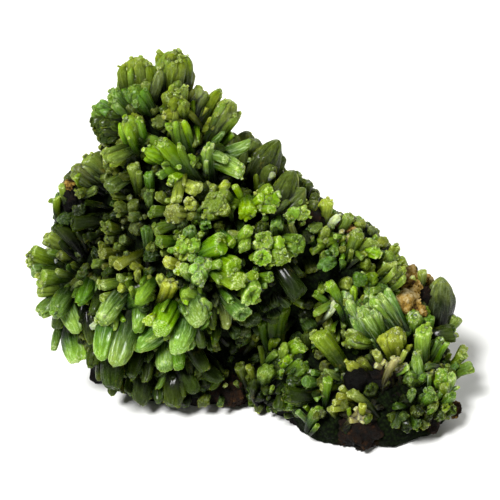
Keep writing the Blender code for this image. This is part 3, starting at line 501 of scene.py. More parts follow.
# Thick crystals of some regions are heads of many prisms: from which width they are and how far, in
# degrees, the outer prisms lean out. Then how many prisms there are for each millimetre of the width,
# how thick they and the core are, how far out they stand, how much lower the outer ones end, how
# uneven their ends are and how their brightness varies.
BUNDLES = {"crown": (2.6, 7), "slope": (2.9, 8), "hollow": (2.8, 4), "heart": (3.3, 12)}
NO_BUNDLE = (math.inf, 0)
BUNDLE_PRISMS = 2.1
BUNDLE_WIDTH = (1.3, 2.5)
BUNDLE_THICKEST = 0.5
BUNDLE_CORE = 0.86
BUNDLE_FOOT = 0.28
BUNDLE_DOME = 0.09
BUNDLE_UNEVEN = 0.15
BUNDLE_DIM = (0.85, 1.1)

# Tiny prisms that are scattered over some crystals: the share of the crystals of each region that
# have them, how many for the square of a millimetre of width, their widths, how far they stand out,
# where they are rooted, how they point along and away from the axis, and how dark they and their feet
# are.
BEADED = {"crown": 1.0, "ridge": 0.1, "heart": 0.6, "hollow": 0.4, "skirt": 0.12, "foot": 0.5,
          "slope": 0.6, "toe": 0.5, "far_right": 0.6}
BEADED_FROM = 1.3
BEADS_PER_SQUARE = 1.3
BEAD_WIDTH = (0.4, 1.1)
BEAD_SHOWS = (0.1, 0.5)
BEAD_SUNK = 0.4
BEAD_INWARD = 0.2
BEAD_UP = (0.4, 1.0)
BEAD_OUT = (0.0, 0.8)
BEAD_DIM = (0.65, 1.0)
BEAD_FOOT_DIM = 0.6

# Hollows and overhung places, where the crystals' colours are darkened as painted shade: (x, u, half width
# and half height in the picture, what is left of their brightness in the middle). The painted shade fades
# between two shares of their size.
PAINTED_SHADE_PLACES = (
    (-21, 35.5, 9.5, 9, 0.4),
    (7, 25.5, 3.5, 6, 0.5),
    (24.5, 5, 5.5, 5.5, 0.28),
    (21.5, 7.5, 3.2, 4.5, 0.25),
    (0.5, 11, 5.5, 4.5, 0.6),
    (10, 9, 9, 6, 0.78),
)
PAINTED_SHADE_EDGE = (0.6, 1.15)
LOWEST_TIP = 1.0
LOWEST_POINT = 0.4

# Small crystals of the druse: how densely places are tried, how far apart they are, how many stand
# together, their sizes, how they lean, and how deep their feet are in the skin.
DRUSE_SEED = 5
DRUSE_TRIES = 1000
DRUSE_SPACING = 1.9
DRUSE_COUNTS = (1, 1, 2)
DRUSE_FORMS = ("flower", "blunt")
DRUSE_LENGTH = (1.0, 3.6)
DRUSE_WIDTH = (0.9, 2.7)
DRUSE_TILT = 0.35
DRUSE_SWAY = 1.5
DRUSE_SWAY_SIZE = 4.5
DRUSE_UPRIGHT = 0.4
DRUSE_ROOT = 0.6
# They are fewer in the hollows and overhung places that get painted shade, shorter where the skin is seen
# edge on, and stand clear of the crust's edge, the ground, the knobs and the underside of the toe, which
# starts at an x.
DRUSE_IN_PAINTED_SHADE = 0.2
DRUSE_EDGE = (0.05, 0.45)
DRUSE_OVER_EDGE = 0.3
DRUSE_OVER_BASE = 1.2
DRUSE_OFF_KNOBS = 0.2
DRUSE_LOWEST = 4.5
TOE_FROM = 5
# How far their place may face away from the eye and still belong to the front. There, the first row that fits
# the place in the picture holds: least x, least and most u, tones, share of the length, brightness, which
# darkens them as painted shade among the bigger crystals.
DRUSE_FRONT = 0.1
DRUSE_LOOKS = (
    (9, 18, 37, "lyookg", 0.6, 0.62),
    (9, -math.inf, 37, "lyookg", 0.6, 0.42),
    (2, 37, math.inf, "mmoo", 0.8, 0.5),
    (-math.inf, 44, math.inf, "oody", 0.65, 0.42),
    (-math.inf, -math.inf, math.inf, "dggo", 0.55, 0.27),
)
DRUSE_LOOK_BEHIND = ("lggood", 1.1, 0.8)

# The drusy skin: how deep it lies, how its edge frays, over which heights it comes out of the rock at
# the edge and at knobs, how bumpy it is, and how rusty it is near knobs.
SKIN_SUNK = 1.0
SKIN_HIDDEN = 1.2
FRAY = 1.5
FRAY_SIZE = 2.0
SKIN_FADES = (-0.8, 1.6)
SKIN_FADES_AT_KNOBS = (-0.4, 1.2)
SKIN_BUMP = 0.3
SKIN_BUMP_SIZE = 0.8
RUST = 0.16
RUST_FADES = (0.3, 2.5)

# The rock: where it turns into a knob, and how the crags stand out of it and colour it.
KNOB_BLENDS = (0.5, 3)
ROCK_CRAG = 0.8
ROCK_OCHRE_VARIES = 0.3
KNOB_OCHRE_VARIES = 0.45
# Crags are blocks and rough faces, each as (size, height), and bent at a size.
CRAG_BLOCKS = ((1.3, 0.55), (0.7, 0.25))
CRAG_ROUGH = ((2.2, 0.8), (0.8, 0.35), (0.35, 0.15))
CRAG_BEND = 0.7
CRAG_BEND_SIZE = 1.5
CRAG_HEIGHT = 0.8
CUT_MERGE = 1e-5
NOISE_SEED = 5

# The stage, in metres: a sun from the upper left, a lamp from the right and one from behind, the room's
# light, and how near the camera sees.
KEY_PLACE = (-0.17, -0.24, 0.38)
KEY_ANGLE = math.radians(17)
FILL_PLACE = (0.36, -0.28, 0.2)
BACK_LAMP_PLACE = (0.1, 0.42, 0.3)
ROOM_COLOUR = (0.95, 1, 0.78)
ROOM_STRENGTH = 0.09
NEAREST_SEEN = 0.01


def linear(code):
    """An sRGB hex colour as linear red, green and blue."""
    values = [int(code[place:place + 2], 16) / 255 for place in (0, 2, 4)]
    return [value / 12.92 if value < 0.04045 else ((value + 0.055) / 1.055) ** 2.4 for value in values]


def smooth_step(value, low, high):
    """From 0 at a low value to 1 at a high one, gently at both ends."""
    share = min(1, max(0, (value - low) / (high - low)))
    return share * share * (3 - 2 * share)


class FrontView:
    """The eye of the front view and its picture plane, which runs through the specimen."""

    def __init__(self):
        self.right = Vector((1, 0, 0))
        self.up = Vector((0, math.sin(EYE_ELEVATION), math.cos(EYE_ELEVATION)))
        self.away = Vector((0, math.cos(EYE_ELEVATION), -math.sin(EYE_ELEVATION)))
        self.eye = PICTURE_PLACE - self.away * EYE_DISTANCE

    def sight(self, x, u):
        """The direction from the eye to a place in the picture."""
        across = self.right * (x - PICTURE_MIDDLE[0])
        upward = self.up * (u - PICTURE_MIDDLE[1])
        return (self.away * EYE_DISTANCE + across + upward).normalized()

    def at_depth(self, x, u, depth):
        """The point seen at a place in the picture, at a depth along the middle line of sight."""
        line = self.sight(x, u)
        return self.eye + line * (depth / line.dot(self.away))

    def depth_of(self, point):
        """How far a point lies from the eye, along the middle line of sight."""
        return (point - self.eye).dot(self.away)

    def picture(self, point):
        """Where a point is seen, as (x, u) in the picture."""
        arm = point - self.eye
        share = EYE_DISTANCE / arm.dot(self.away)
        return (arm.dot(self.right) * share + PICTURE_MIDDLE[0],
                arm.dot(self.up) * share + PICTURE_MIDDLE[1])


class Lump:
    """One round lump of rock, grown by a skin."""

    def __init__(self, lump, growth):
        self.middle = Vector(lump[:3])
        self.radii = Vector([radius + growth for radius in lump[3:]])

    def scaled(self, vector):
        """A vector in shares of the lump's half width, depth and height."""
        return Vector([vector[axis] / self.radii[axis] for axis in range(3)])

    def level(self, point):
        """Under one inside the lump, one on its surface, and more outside."""
        return self.scaled(point - self.middle).length

    def outward(self, point):
        """The direction straight out of the lump at a point on it."""
        return self.scaled(self.scaled(point - self.middle)).normalized()

    def reach(self, start, line):
        """How far along a line the lump is met, or None, and the point of the line nearest to it."""
        here, way = self.scaled(start - self.middle), self.scaled(line)
        square, half = way.dot(way), here.dot(way)
        nearest = start + line * (-half / square)
        inside = half * half - square * (here.dot(here) - 1)
        if inside < 0:
            return None, nearest
        return (-half - math.sqrt(inside)) / square, nearest


class Mound:
    """All the lumps together, as one rounded mass."""

    def __init__(self, growth):
        self.lumps = [Lump(lump, growth) for lump in ROCK_LUMPS]

    def meet(self, view, x, u):
        """Where a line of sight meets the mound, or the place on it that is nearest to the line."""
        line = view.sight(x, u)
        met = [(lump.reach(view.eye, line), lump) for lump in self.lumps]
        hits = [(found[0], lump) for found, lump in met if found[0] is not None]
        if hits:
            far, lump = min(hits, key=lambda hit: hit[0])
            place = view.eye + line * far
            return place, lump.outward(place)
        misses = [(lump.level(found[1]), found[1], lump) for found, lump in met]
        level, nearest, lump = min(misses, key=lambda miss: miss[0])
        place = lump.middle + (nearest - lump.middle) / level
        return place, lump.outward(place)

    def nearest(self, view, point):
        """Where on its line of sight the mound is met, as a share of the way to a point."""
        reaches = [lump.reach(view.eye, point - view.eye)[0] for lump in self.lumps]
        return min((reach for reach in reaches if reach is not None), default=math.inf)

    def covers(self, view, point):
        """Whether a point lies within the mound's outline, as the eye sees it."""
        return self.nearest(view, point) < math.inf

    def hides(self, view, point):
        """Whether the mound stands between the eye and a point."""
        return self.nearest(view, point) < 1

    def spread(self, tries, spacing, wanted):
        """Evenly spread places, with the way out there, where wanted(place, outward) is true."""
        places, cells = [], {}
        for lump in self.lumps:
            for count in range(tries):
                height = 1 - 2 * (count + 0.5) / tries
                ring = math.sqrt(1 - height * height)
                angle = count * GOLDEN_ANGLE
                ball = Vector((ring * math.cos(angle), ring * math.sin(angle), height))
                place = lump.middle + Vector([ball[axis] * lump.radii[axis] for axis in range(3)])
                outward = lump.outward(place)
                if not wanted(place, outward):
                    continue
                if any(other is not lump and other.level(place) < 1 for other in self.lumps):
                    continue
                home = tuple(int(value // spacing) for value in place)
                around = [kept for x in (-1, 0, 1) for y in (-1, 0, 1) for z in (-1, 0, 1)
                          for kept in cells.get((home[0] + x, home[1] + y, home[2] + z), ())]
                if all((place - kept).length >= spacing for kept in around):
                    cells.setdefault(home, []).append(place)
                    places.append((place, outward))
        return places


def over_edge(place):
    """How far a place lies above the plane where the crust ends."""
    return (place - SKIN_EDGE).dot(Vector((0, -math.sin(SKIN_EDGE_RISE), math.cos(SKIN_EDGE_RISE))))


# Vector noise takes its offsets from the clock unless it has a seed.
noise.seed_set(NOISE_SEED)

VIEW = FrontView()
SKIN_MOUND = Mound(SKIN_THICKNESS)
OUTLINE = Mound(OUTLINE_SKIN)
OUTLINE_BACK = Mound(OUTLINE_SKIN_BACK)


def within(outline, root, tip):
    """The tip of a crystal, drawn back until it lies within an outline, or None."""
    for share in OUTLINE_SHARES:
        end = root.lerp(tip, share)
        if outline.covers(VIEW, end):
            return end
    return None


def knob_places():
    """The knobs of bare rock as (middle, radius, how ochre)."""
    knobs = []
    for x, u, radius, ochre, shows in ROCK_KNOBS:
        place, outward = SKIN_MOUND.meet(VIEW, x, u)
        knobs.append((place + outward * (shows - radius), radius, ochre))
    for x, y, z, radius, ochre in BACK_KNOBS:
        knobs.append((Vector((x, y, z)), radius, ochre))
    return knobs


KNOBS = knob_places()


def nearest_knob(place):
    """How far a place lies from the surface of the nearest knob, and how ochre that one is."""
    return min(((place - middle).length - radius, ochre) for middle, radius, ochre in KNOBS)


def swell(place):
    """How far the broken rock stands out at a place, the same as the solid's."""
    wave = noise.noise(place / ROCK_WAVE) * ROCK_WAVE_HEIGHT
    return wave + noise.noise(place / ROCK_GRAIN) * ROCK_GRAIN_HEIGHT


def crag(place):
    """How far the crumbling rock stands out at a place, in blocks with rough faces."""
    bent = place + noise.noise_vector(place / CRAG_BEND_SIZE) * CRAG_BEND
    blocks = sum(noise.cell(bent / size) * height for size, height in CRAG_BLOCKS)
    rough = sum(noise.noise(place / size) * height for size, height in CRAG_ROUGH)
    return (blocks + rough) * CRAG_HEIGHT


def painted_shade_at(x, u):
    """What is left of a crystal's brightness at a place of the picture, under the painted shade of hollows
    and overhung places.
    """
    left = 1.0
    for middle_x, middle_u, half_width, half_height, dim in PAINTED_SHADE_PLACES:
        far = math.hypot((x - middle_x) / half_width, (u - middle_u) / half_height)
        left = min(left, dim + (1 - dim) * smooth_step(far, *PAINTED_SHADE_EDGE))
    return left


def varied(colour, turn, fill, value):
    """A linear colour with its hue turned and its saturation and brightness scaled."""
    hue, full, bright = colorsys.rgb_to_hsv(*colour[:3])
    return colorsys.hsv_to_rgb((hue + turn) % 1, min(1, full * fill), bright * value)


def tint_of(tone, dice, dim=1.0):
    """The tip and body colours of one crystal, a little off its tone, and its silk."""
    looks = bpy.context.scene.specimen
    turn = dice.uniform(-HUE_VARIES, HUE_VARIES)
    fill = dice.uniform(*FILL_VARIES)
    name = TONE_NAMES[tone]
    tip = varied(getattr(looks, name + "_tip"), turn, fill, dice.uniform(*TIP_VARIES) * dim)
    body = varied(getattr(looks, name + "_body"), turn, fill, dice.uniform(*BODY_VARIES) * dim)
    return tip, body, SILKINESS[tone]


def new_object(name, data):
    """An object in the scene for a mesh, a lamp or a camera."""
    thing = bpy.data.objects.new(name, data)
    bpy.context.scene.collection.objects.link(thing)
    return thing


def new_mesh(name, bm):
    """A mesh of what a bmesh holds; the bmesh is freed."""
    mesh = bpy.data.meshes.new(name)
    bm.to_mesh(mesh)
    bm.free()
    return mesh


def place_piece(thing, node):
    """Put a piece on the body, in place of a solid, which is hidden."""
    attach(thing, "root")
    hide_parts(node)


class Growth:
    """A mesh that gathers crystals, with what the material needs to know at each of its points."""

    FIELDS = (
        ("along", "FLOAT", "value"),
        ("groove", "FLOAT", "value"),
        ("silk", "FLOAT", "value"),
        ("grain", "FLOAT_VECTOR", "vector"),
        ("tip_tint", "FLOAT_COLOR", "color"),
        ("body_tint", "FLOAT_COLOR", "color"),
    )

    def __init__(self):
        self.points, self.faces, self.count = [], [], 0
        self.values = {label: [] for label, _, _ in self.FIELDS}

    def add(self, points, faces, along, groove, grain, tint):
        """Add one crystal; tint is its (tip colour, body colour, silk)."""
        size = len(points)
        self.points.append(points)
        self.faces.extend([[corner + self.count for corner in face] for face in faces])
        self.count += size
        tip, body, silk = tint
        self.values["along"].append(along)
        self.values["groove"].append(groove)
        self.values["grain"].append(grain)
        self.values["silk"].append(np.full(size, silk))
        self.values["tip_tint"].append(np.tile((*tip, 1.0), (size, 1)))
        self.values["body_tint"].append(np.tile((*body, 1.0), (size, 1)))

    def build(self, name):
        """Make the piece, with smooth sides that break at sharp edges."""
        mesh = bpy.data.meshes.new(name)
        mesh.from_pydata(np.concatenate(self.points) * MM, [], self.faces)
        for label, kind, key in self.FIELDS:
            layer = mesh.attributes.new(label, kind, "POINT")
            layer.data.foreach_set(key, np.concatenate(self.values[label]).astype(np.float32).ravel())
        mesh.shade_smooth()
        mesh.set_sharp_from_angle(angle=bpy.context.scene.specimen.sharp_angle)
        mesh.materials.append(shared(pyromorphite_material))
        place_piece(new_object(name, mesh), "crystal_crust")


HEXAGON = np.arange(6) * math.pi / 3
GRAIN_WAVES = np.random.default_rng(GRAIN_SEED).normal(size=(GRAIN_COUNT, 3))
GRAIN_PHASES = np.arange(GRAIN_COUNT) * GRAIN_PHASE


def grain_at(points, size):
    """A lumpy field over points, about -1 to 1, with lumps of a size in millimetres."""
    return np.sin(points @ GRAIN_WAVES.T * (2 / size) + GRAIN_PHASES).sum(axis=1) / GRAIN_SPAN


def rods_in(width, form, dice):
    """The rods that a crystal is grown from; back is how far the end of one stands back."""
    half = width / 2
    if width < SINGLE_ROD_WIDTH:
        return [Rod(0, 0, half * SINGLE_ROD_SHARE, 0, 0, 0)]
    slope = Vector((dice.uniform(-END_SLOPE, END_SLOPE), dice.uniform(-END_SLOPE, END_SLOPE)))
    core = half * form.core * CORE_SHARE
    cup = min(form.cupped, CUP_SHARE * width)
    rods = [Rod(0, 0, core, dice.uniform(0, ROD_SPIN), dice.uniform(0, CORE_BACK), cup)]
    angle = dice.uniform(0, math.tau)
    end = angle + math.tau
    while angle < end:
        radius = half * dice.uniform(form.thin, form.thick)
        out = half * dice.uniform(*RIM_OUT) - radius
        x, y = out * math.cos(angle), out * math.sin(angle)
        back = dice.random() ** RAGGED_POWER * form.ragged + slope.x * x + slope.y * y
        rods.append(Rod(x, y, radius, dice.uniform(0, ROD_SPIN), back, 0))
        angle += radius * dice.uniform(*ROD_STEP) / out
    for _ in range(round(width * form.bumps)):
        out, turn = half * dice.uniform(*BUMP_OUT), dice.uniform(0, math.tau)
        radius = half * dice.uniform(form.thin, form.thick)
        spin = dice.uniform(0, ROD_SPIN)
        back = dice.uniform(*BUMP_BACK) * form.domed
        rods.append(Rod(out * math.cos(turn), out * math.sin(turn), radius, spin, back, 0))
    lowest = min(rod.back for rod in rods)
    return [rod._replace(back=rod.back - lowest) for rod in rods]


def rod_sides(spin):
    """The outward directions of a rod's six sides."""
    return np.stack([np.cos(HEXAGON + spin), np.sin(HEXAGON + spin)], axis=1)


def rod_reach(rays, rod):
    """How far rays from the crystal's middle run before they leave a rod, or 0 where they miss it."""
    sides = rod_sides(rod.spin)
    facing = rays @ sides.T
    room = rod.radius + sides @ np.array([rod.x, rod.y])
    with np.errstate(divide="ignore", invalid="ignore"):
        cross = room / facing
    far = np.where(facing > TINIEST, cross, np.inf).min(axis=1)
    near = np.where(facing < -TINIEST, cross, -np.inf).max(axis=1)
    return np.where((far > near) & (far > 0), far, 0.0)


def end_height(points, rods, length, least):
    """How high the crystal's end stands over points of its cross-section."""
    height = np.full(len(points), least)
    for rod in rods:
        edge = ((points - np.array([rod.x, rod.y])) @ rod_sides(rod.spin).T).max(axis=1) / rod.radius
        bevel = min(BEVEL, BEVEL_SHARE * rod.radius) * np.clip(edge - (1 - BEVEL_RING), 0, 1) / BEVEL_RING
        cup = rod.cup * np.clip(1 - edge ** 2, 0, 1)
        top = length - rod.back - cup - END_BULGE * edge ** 2 - bevel
        height = np.where((edge < ROD_OVERLAP) & (top > height), top, height)
    return height


def girth_at(shape, share):
    """How wide a crystal is at a share of its length, against its width."""
    if shape == "rod":
        return 1 - ROD_TAPER + ROD_TAPER * share
    shoulder = SHOULDER * max(0.0, share - (1 - SHOULDER_LENGTH)) / SHOULDER_LENGTH
    if shape == "flare":
        low, rise, power = FLARE
        return low + rise * share ** power - shoulder
    low, rise, start, run = BULGES[shape]
    return low + rise * math.sin(math.pi * (start + run * share)) - shoulder


def column_faces(count, rings):
    """The faces of a column: its sides ring by ring, the fan round its end's middle, and its foot."""
    faces = []
    for ring in range(rings):
        low, high = ring * count, (ring + 1) * count
        for place in range(count):
            after = (place + 1) % count
            faces.append((low + place, low + after, high + after, high + place))
    last, middle = rings * count, (rings + 1) * count
    faces.extend([(last + place, last + (place + 1) % count, middle) for place in range(count)])
    faces.append(tuple(range(count))[::-1])
    return faces


def add_crystal(growth, root, tip, width, shape, form, tint, dice, fineness=PLAIN):
    """Add one crystal: a column of fused rods, grooved along its sides and uneven at its end.

    The points of its upper part are returned, for others to grow on.
    """
    if tip.z < LOWEST_TIP:
        return []
    length = (tip - root).length
    axis = (tip - root) / length
    side = axis.orthogonal().normalized()
    other = axis.cross(side)
    domed = FORMS[form].domed
    rods = rods_in(width, FORMS[form], dice)
    single = len(rods) == 1
    count = round(math.pi * width * fineness.per_mm)
    count = fineness.single if single else min(fineness.most, max(fineness.least, count))
    # Nothing uses this draw. Without it, all later ones would come out differently.
    dice.random()
    angles = np.arange(count) * math.tau / count
    rays = np.stack([np.cos(angles), np.sin(angles)], axis=1)
    reaches = np.stack([rod_reach(rays, rod) for rod in rods])
    reach = reaches.max(axis=0)
    backs = np.array([rod.back for rod in rods])
    drop = domed * width / 2
    valley = np.zeros(count)
    if single:
        smooth = reach
        rim = np.full(count, length - SINGLE_RIM * width)
    else:
        smooth = np.full(count, SMOOTH_SHARE * width)
        valley = (reach.max() - reach) / max(TINIEST, reach.max() - reach.min())
        rim = length - drop - backs[reaches.argmax(axis=0)] - RIM_NOTCH * valley - RIM_BACK
    flat = dice.uniform(*FLATNESS)
    bow = np.array([dice.uniform(-BOW, BOW), dice.uniform(-BOW, BOW)]) * length
    shift = np.array([dice.uniform(0, GRAIN_FIELD) for _ in range(3)])
    end_shade = dice.uniform(*END_SHADE)
    rows, alongs, groove_shades = [], [], []
    for step in fineness.steps:
        depth = FOOT_GROOVE + (1 - FOOT_GROOVE) * step
        radius = girth_at(shape, step) * (smooth * (1 - depth) + reach * depth)
        rows.append(np.column_stack([radius[:, None] * rays, rim * step]))
        alongs.append(np.full(count, fineness.foot + (1 - fineness.foot) * step * (1 - drop / length)))
        # The grooves between the rods get painted shade.
        groove_shades.append(valley * depth * (1 - domed))
    inner = SINGLE_RINGS if single else fineness.rings
    girth = girth_at(shape, 1.0)
    for share in (*inner, 0.0):
        ring = (reach * share)[:, None] * rays
        if share == 0.0:
            ring = ring[:1]
        height = end_height(ring, rods, length, length - backs.max() - END_DEEPEST) - drop * share ** 2
        rows.append(np.column_stack([ring * girth, height]))
        # The middle of the end is painted darker than its rim, a painted highlight on the rim, and what lies
        # deep on the end gets painted shade.
        alongs.append(np.clip(height / length, 0, 1.1) - end_shade * (1 - share))
        groove_shades.append(np.clip((height.max() - height) / END_GROOVE_SHADE_DEPTH, 0, END_GROOVE_SHADE))
    local = np.concatenate(rows)
    local[:, 1] *= flat
    if not single:
        rough = grain_at(local * (1, 1, 0.5) + shift, SIDE_GRAIN)
        local[:, :2] *= 1 + SIDE_ROUGH * rough[:, None]
        local[:, 2] += END_ROUGH * grain_at(local + shift, END_GRAIN) * (local[:, 2] > END_FROM * length)
    share = local[:, 2:3] / length
    local[:, :2] += bow * (share - share ** 2) * 4
    world = (np.array(root) + np.outer(local[:, 0], side) + np.outer(local[:, 1], other)
             + np.outer(local[:, 2], axis))
    world[:, 2] = np.maximum(world[:, 2], LOWEST_POINT)
    faces = column_faces(count, len(fineness.steps) + len(inner) - 1)
    growth.add(world, faces, np.concatenate(alongs), np.concatenate(groove_shades), local + shift, tint)
    return [Vector(point) for point in world[len(world) // 2:]]


def front_ends(x, u, turn, lean, length):
    """The root and tip of a crystal that is listed as it is seen from the front."""
    turn, lean = math.radians(turn), math.radians(lean)
    shown = length * math.cos(lean)
    root, outward = SKIN_MOUND.meet(VIEW, x - shown * math.cos(turn), u - shown * math.sin(turn))
    tip = VIEW.at_depth(x, u, VIEW.depth_of(root) - length * math.sin(lean))
    deep = root + (root - tip).normalized() * ROOT_DEPTH
    if deep.z < 2 * LOWEST_TIP or not SKIN_MOUND.covers(VIEW, deep):
        deep = root - outward * ROOT_DEPTH
    deep.z = max(deep.z, LOWEST_TIP)
    return deep, tip


def add_companions(growth, root, tip, width, shape, form, tone, dim, dice):
    """Add thinner, shorter crystals that lean away from one they stand against."""
    axis = (tip - root).normalized()
    side = axis.orthogonal().normalized()
    start = dice.uniform(0, math.tau)
    many = dice.choice(COMPANION_COUNTS)
    thinnest, thickest = COMPANION_WIDTH
    for number in range(many):
        angle = start + (number + dice.uniform(-COMPANION_JITTER, COMPANION_JITTER)) * math.tau / many
        arm = Quaternion(axis, angle) @ side
        thin = dice.uniform(thinnest, max(thinnest, min(thickest, width * COMPANION_SHARE)))
        spread = dice.uniform(*COMPANION_SPREAD)
        way = axis * math.cos(spread) + arm * math.sin(spread)
        foot = root + arm * (width * COMPANION_FOOT)
        end = foot + way * ((tip - root).length * dice.uniform(*COMPANION_LENGTH))
        shade = dim * dice.uniform(*COMPANION_DIM)
        add_crystal(growth, foot, end, thin, shape, form, tint_of(tone, dice, shade), dice)


def add_bundle(growth, root, tip, width, spread, form, tone, dim, dice):
    """Add a head of prisms grown side by side, whose ends stand at different heights.

    The points of their upper parts are returned.
    """
    length = (tip - root).length
    axis = (tip - root) / length
    side = axis.orthogonal().normalized()
    start = dice.uniform(0, math.tau)
    count = round(width * BUNDLE_PRISMS)
    upper = []
    for number in range(count):
        off = math.sqrt(number / count)
        arm = Quaternion(axis, start + number * GOLDEN_ANGLE) @ side
        lean = math.radians(spread) * off
        way = axis * math.cos(lean) + arm * math.sin(lean)
        foot = root + arm * (off * width * BUNDLE_FOOT)
        reach = length * (1 - BUNDLE_DOME * off * off - dice.uniform(0, BUNDLE_UNEVEN))
        thick = width * BUNDLE_CORE
        if number:
            thick = min(dice.uniform(*BUNDLE_WIDTH), width * BUNDLE_THICKEST)
        tint = tint_of(tone, dice, dim * dice.uniform(*BUNDLE_DIM))
        upper += add_crystal(growth, foot, foot + way * reach, thick, "flare", form, tint, dice)
    return upper


def add_beads(growth, places, root, tip, width, tone, dim, dice):
    """Scatter tiny prisms over places on the upper part of a crystal."""
    axis = (tip - root).normalized()
    for _ in range(round(width * width * BEADS_PER_SQUARE)):
        place = dice.choice(places)
        arm = place - root
        arm = (arm - axis * arm.dot(axis)) / (0.5 * width)
        way = (axis * dice.uniform(*BEAD_UP) + arm * dice.uniform(*BEAD_OUT)).normalized()
        bright, _, silk = tint_of(tone, dice, dim * dice.uniform(*BEAD_DIM))
        tint = (bright, varied(bright, 0, 1, BEAD_FOOT_DIM), silk)
        foot = place - way * BEAD_SUNK - arm * (width * BEAD_INWARD)
        end = place + way * dice.uniform(*BEAD_SHOWS)
        add_crystal(growth, foot, end, dice.uniform(*BEAD_WIDTH), "rod", "blunt", tint, dice, TINY)


def shape_of(region, tone, width):
    """Which of the four outlines a crystal has."""
    if width < SINGLE_ROD_WIDTH:
        return "rod"
    if tone == "p" or region == "skirt":
        return "leaf"
    if tone in DOMED_TONES or region in ("crown", "ridge"):
        return "barrel"
    return "flare"


def lump_mesh(name, growth, knobs, grid):
    """One closed mesh over all the lumps and some knobs, on an even grid."""
    bm = bmesh.new()
    balls = [(lump[:3], [radius + growth for radius in lump[3:]]) for lump in ROCK_LUMPS]
    balls += [(middle, (radius,) * 3) for middle, radius, _ in knobs]
    for middle, radii in balls:
        made = bmesh.ops.create_icosphere(bm, subdivisions=BALL_SUBDIVISIONS, radius=1)
        for vert in made["verts"]:
            vert.co = Vector([vert.co[axis] * radii[axis] + middle[axis] for axis in range(3)])
    mesh = new_mesh(name, bm)
    thing = new_object(name, mesh)
    shell = thing.modifiers.new("one skin", "REMESH")
    shell.mode = "VOXEL"
    shell.voxel_size = grid
    depsgraph = bpy.context.evaluated_depsgraph_get()
    thing.data = bpy.data.meshes.new_from_object(thing.evaluated_get(depsgraph))
    thing.modifiers.clear()
    bpy.data.meshes.remove(mesh)
    thing.data.name = name
    return thing


def cut_off(thing, height):
    """Cut off what a closed mesh has below a height, and close the cut."""
    bm = bmesh.new()
    bm.from_mesh(thing.data)
    everything = bm.verts[:] + bm.edges[:] + bm.faces[:]
    bmesh.ops.bisect_plane(bm, geom=everything, dist=CUT_MERGE, plane_co=(0, 0, height),
                           plane_no=(0, 0, 1), clear_inner=True)
    rim = [edge for edge in bm.edges if edge.is_boundary]
    bmesh.ops.contextual_create(bm, geom=rim)
    bmesh.ops.recalc_face_normals(bm, faces=bm.faces[:])
    bm.to_mesh(thing.data)
    bm.free()


def point_values(thing, label, values):
    """Give each point of a mesh a value that its material reads."""
    layer = thing.data.attributes.new(label, "FLOAT", "POINT")
    layer.data.foreach_set("value", np.array(values, np.float32))


def finish_piece(thing, material, node):
    """Turn a mesh to metres, shade it smooth, give it its material and put it in its place."""
    thing.data.transform(Matrix.Scale(MM, 4))
    thing.data.shade_smooth()
    thing.data.materials.clear()
    thing.data.materials.append(material)
    place_piece(thing, node)


def set_inputs(node, inputs):
    """Link or set the inputs of a node, by number or name; colours are given without their alpha."""
    for key, value in inputs.items():
        named = (socket for socket in node.inputs if socket.name == key and socket.enabled)
        socket = node.inputs[key] if isinstance(key, int) else next(named)
        if isinstance(value, bpy.types.Node):
            value = next(output for output in value.outputs if output.enabled)
        if isinstance(value, bpy.types.NodeSocket):
            node.id_data.links.new(value, socket)
        else:
            socket.default_value = (*value, 1) if socket.type == "RGBA" else value


def add_node(tree, kind, inputs=(), stops=(), **settings):
    """Add a node with its settings, its inputs and, on a colour ramp, its stops."""
    node = tree.nodes.new("ShaderNode" + kind)
    for key, value in settings.items():
        setattr(node, key, value)
    set_inputs(node, dict(inputs))
    if stops:
        elements = node.color_ramp.elements
        while len(elements) < len(stops):
            elements.new(1.0)
        for element, (place, colour) in zip(elements, stops):
            element.position = place
            element.color = (colour, colour, colour, 1) if isinstance(colour, float) else (*colour, 1)
    return node


# Settings of the nodes that mix two colours, and of those that multiply them.
MIX = {"data_type": "RGBA"}
DARKEN = {"data_type": "RGBA", "blend_type": "MULTIPLY"}


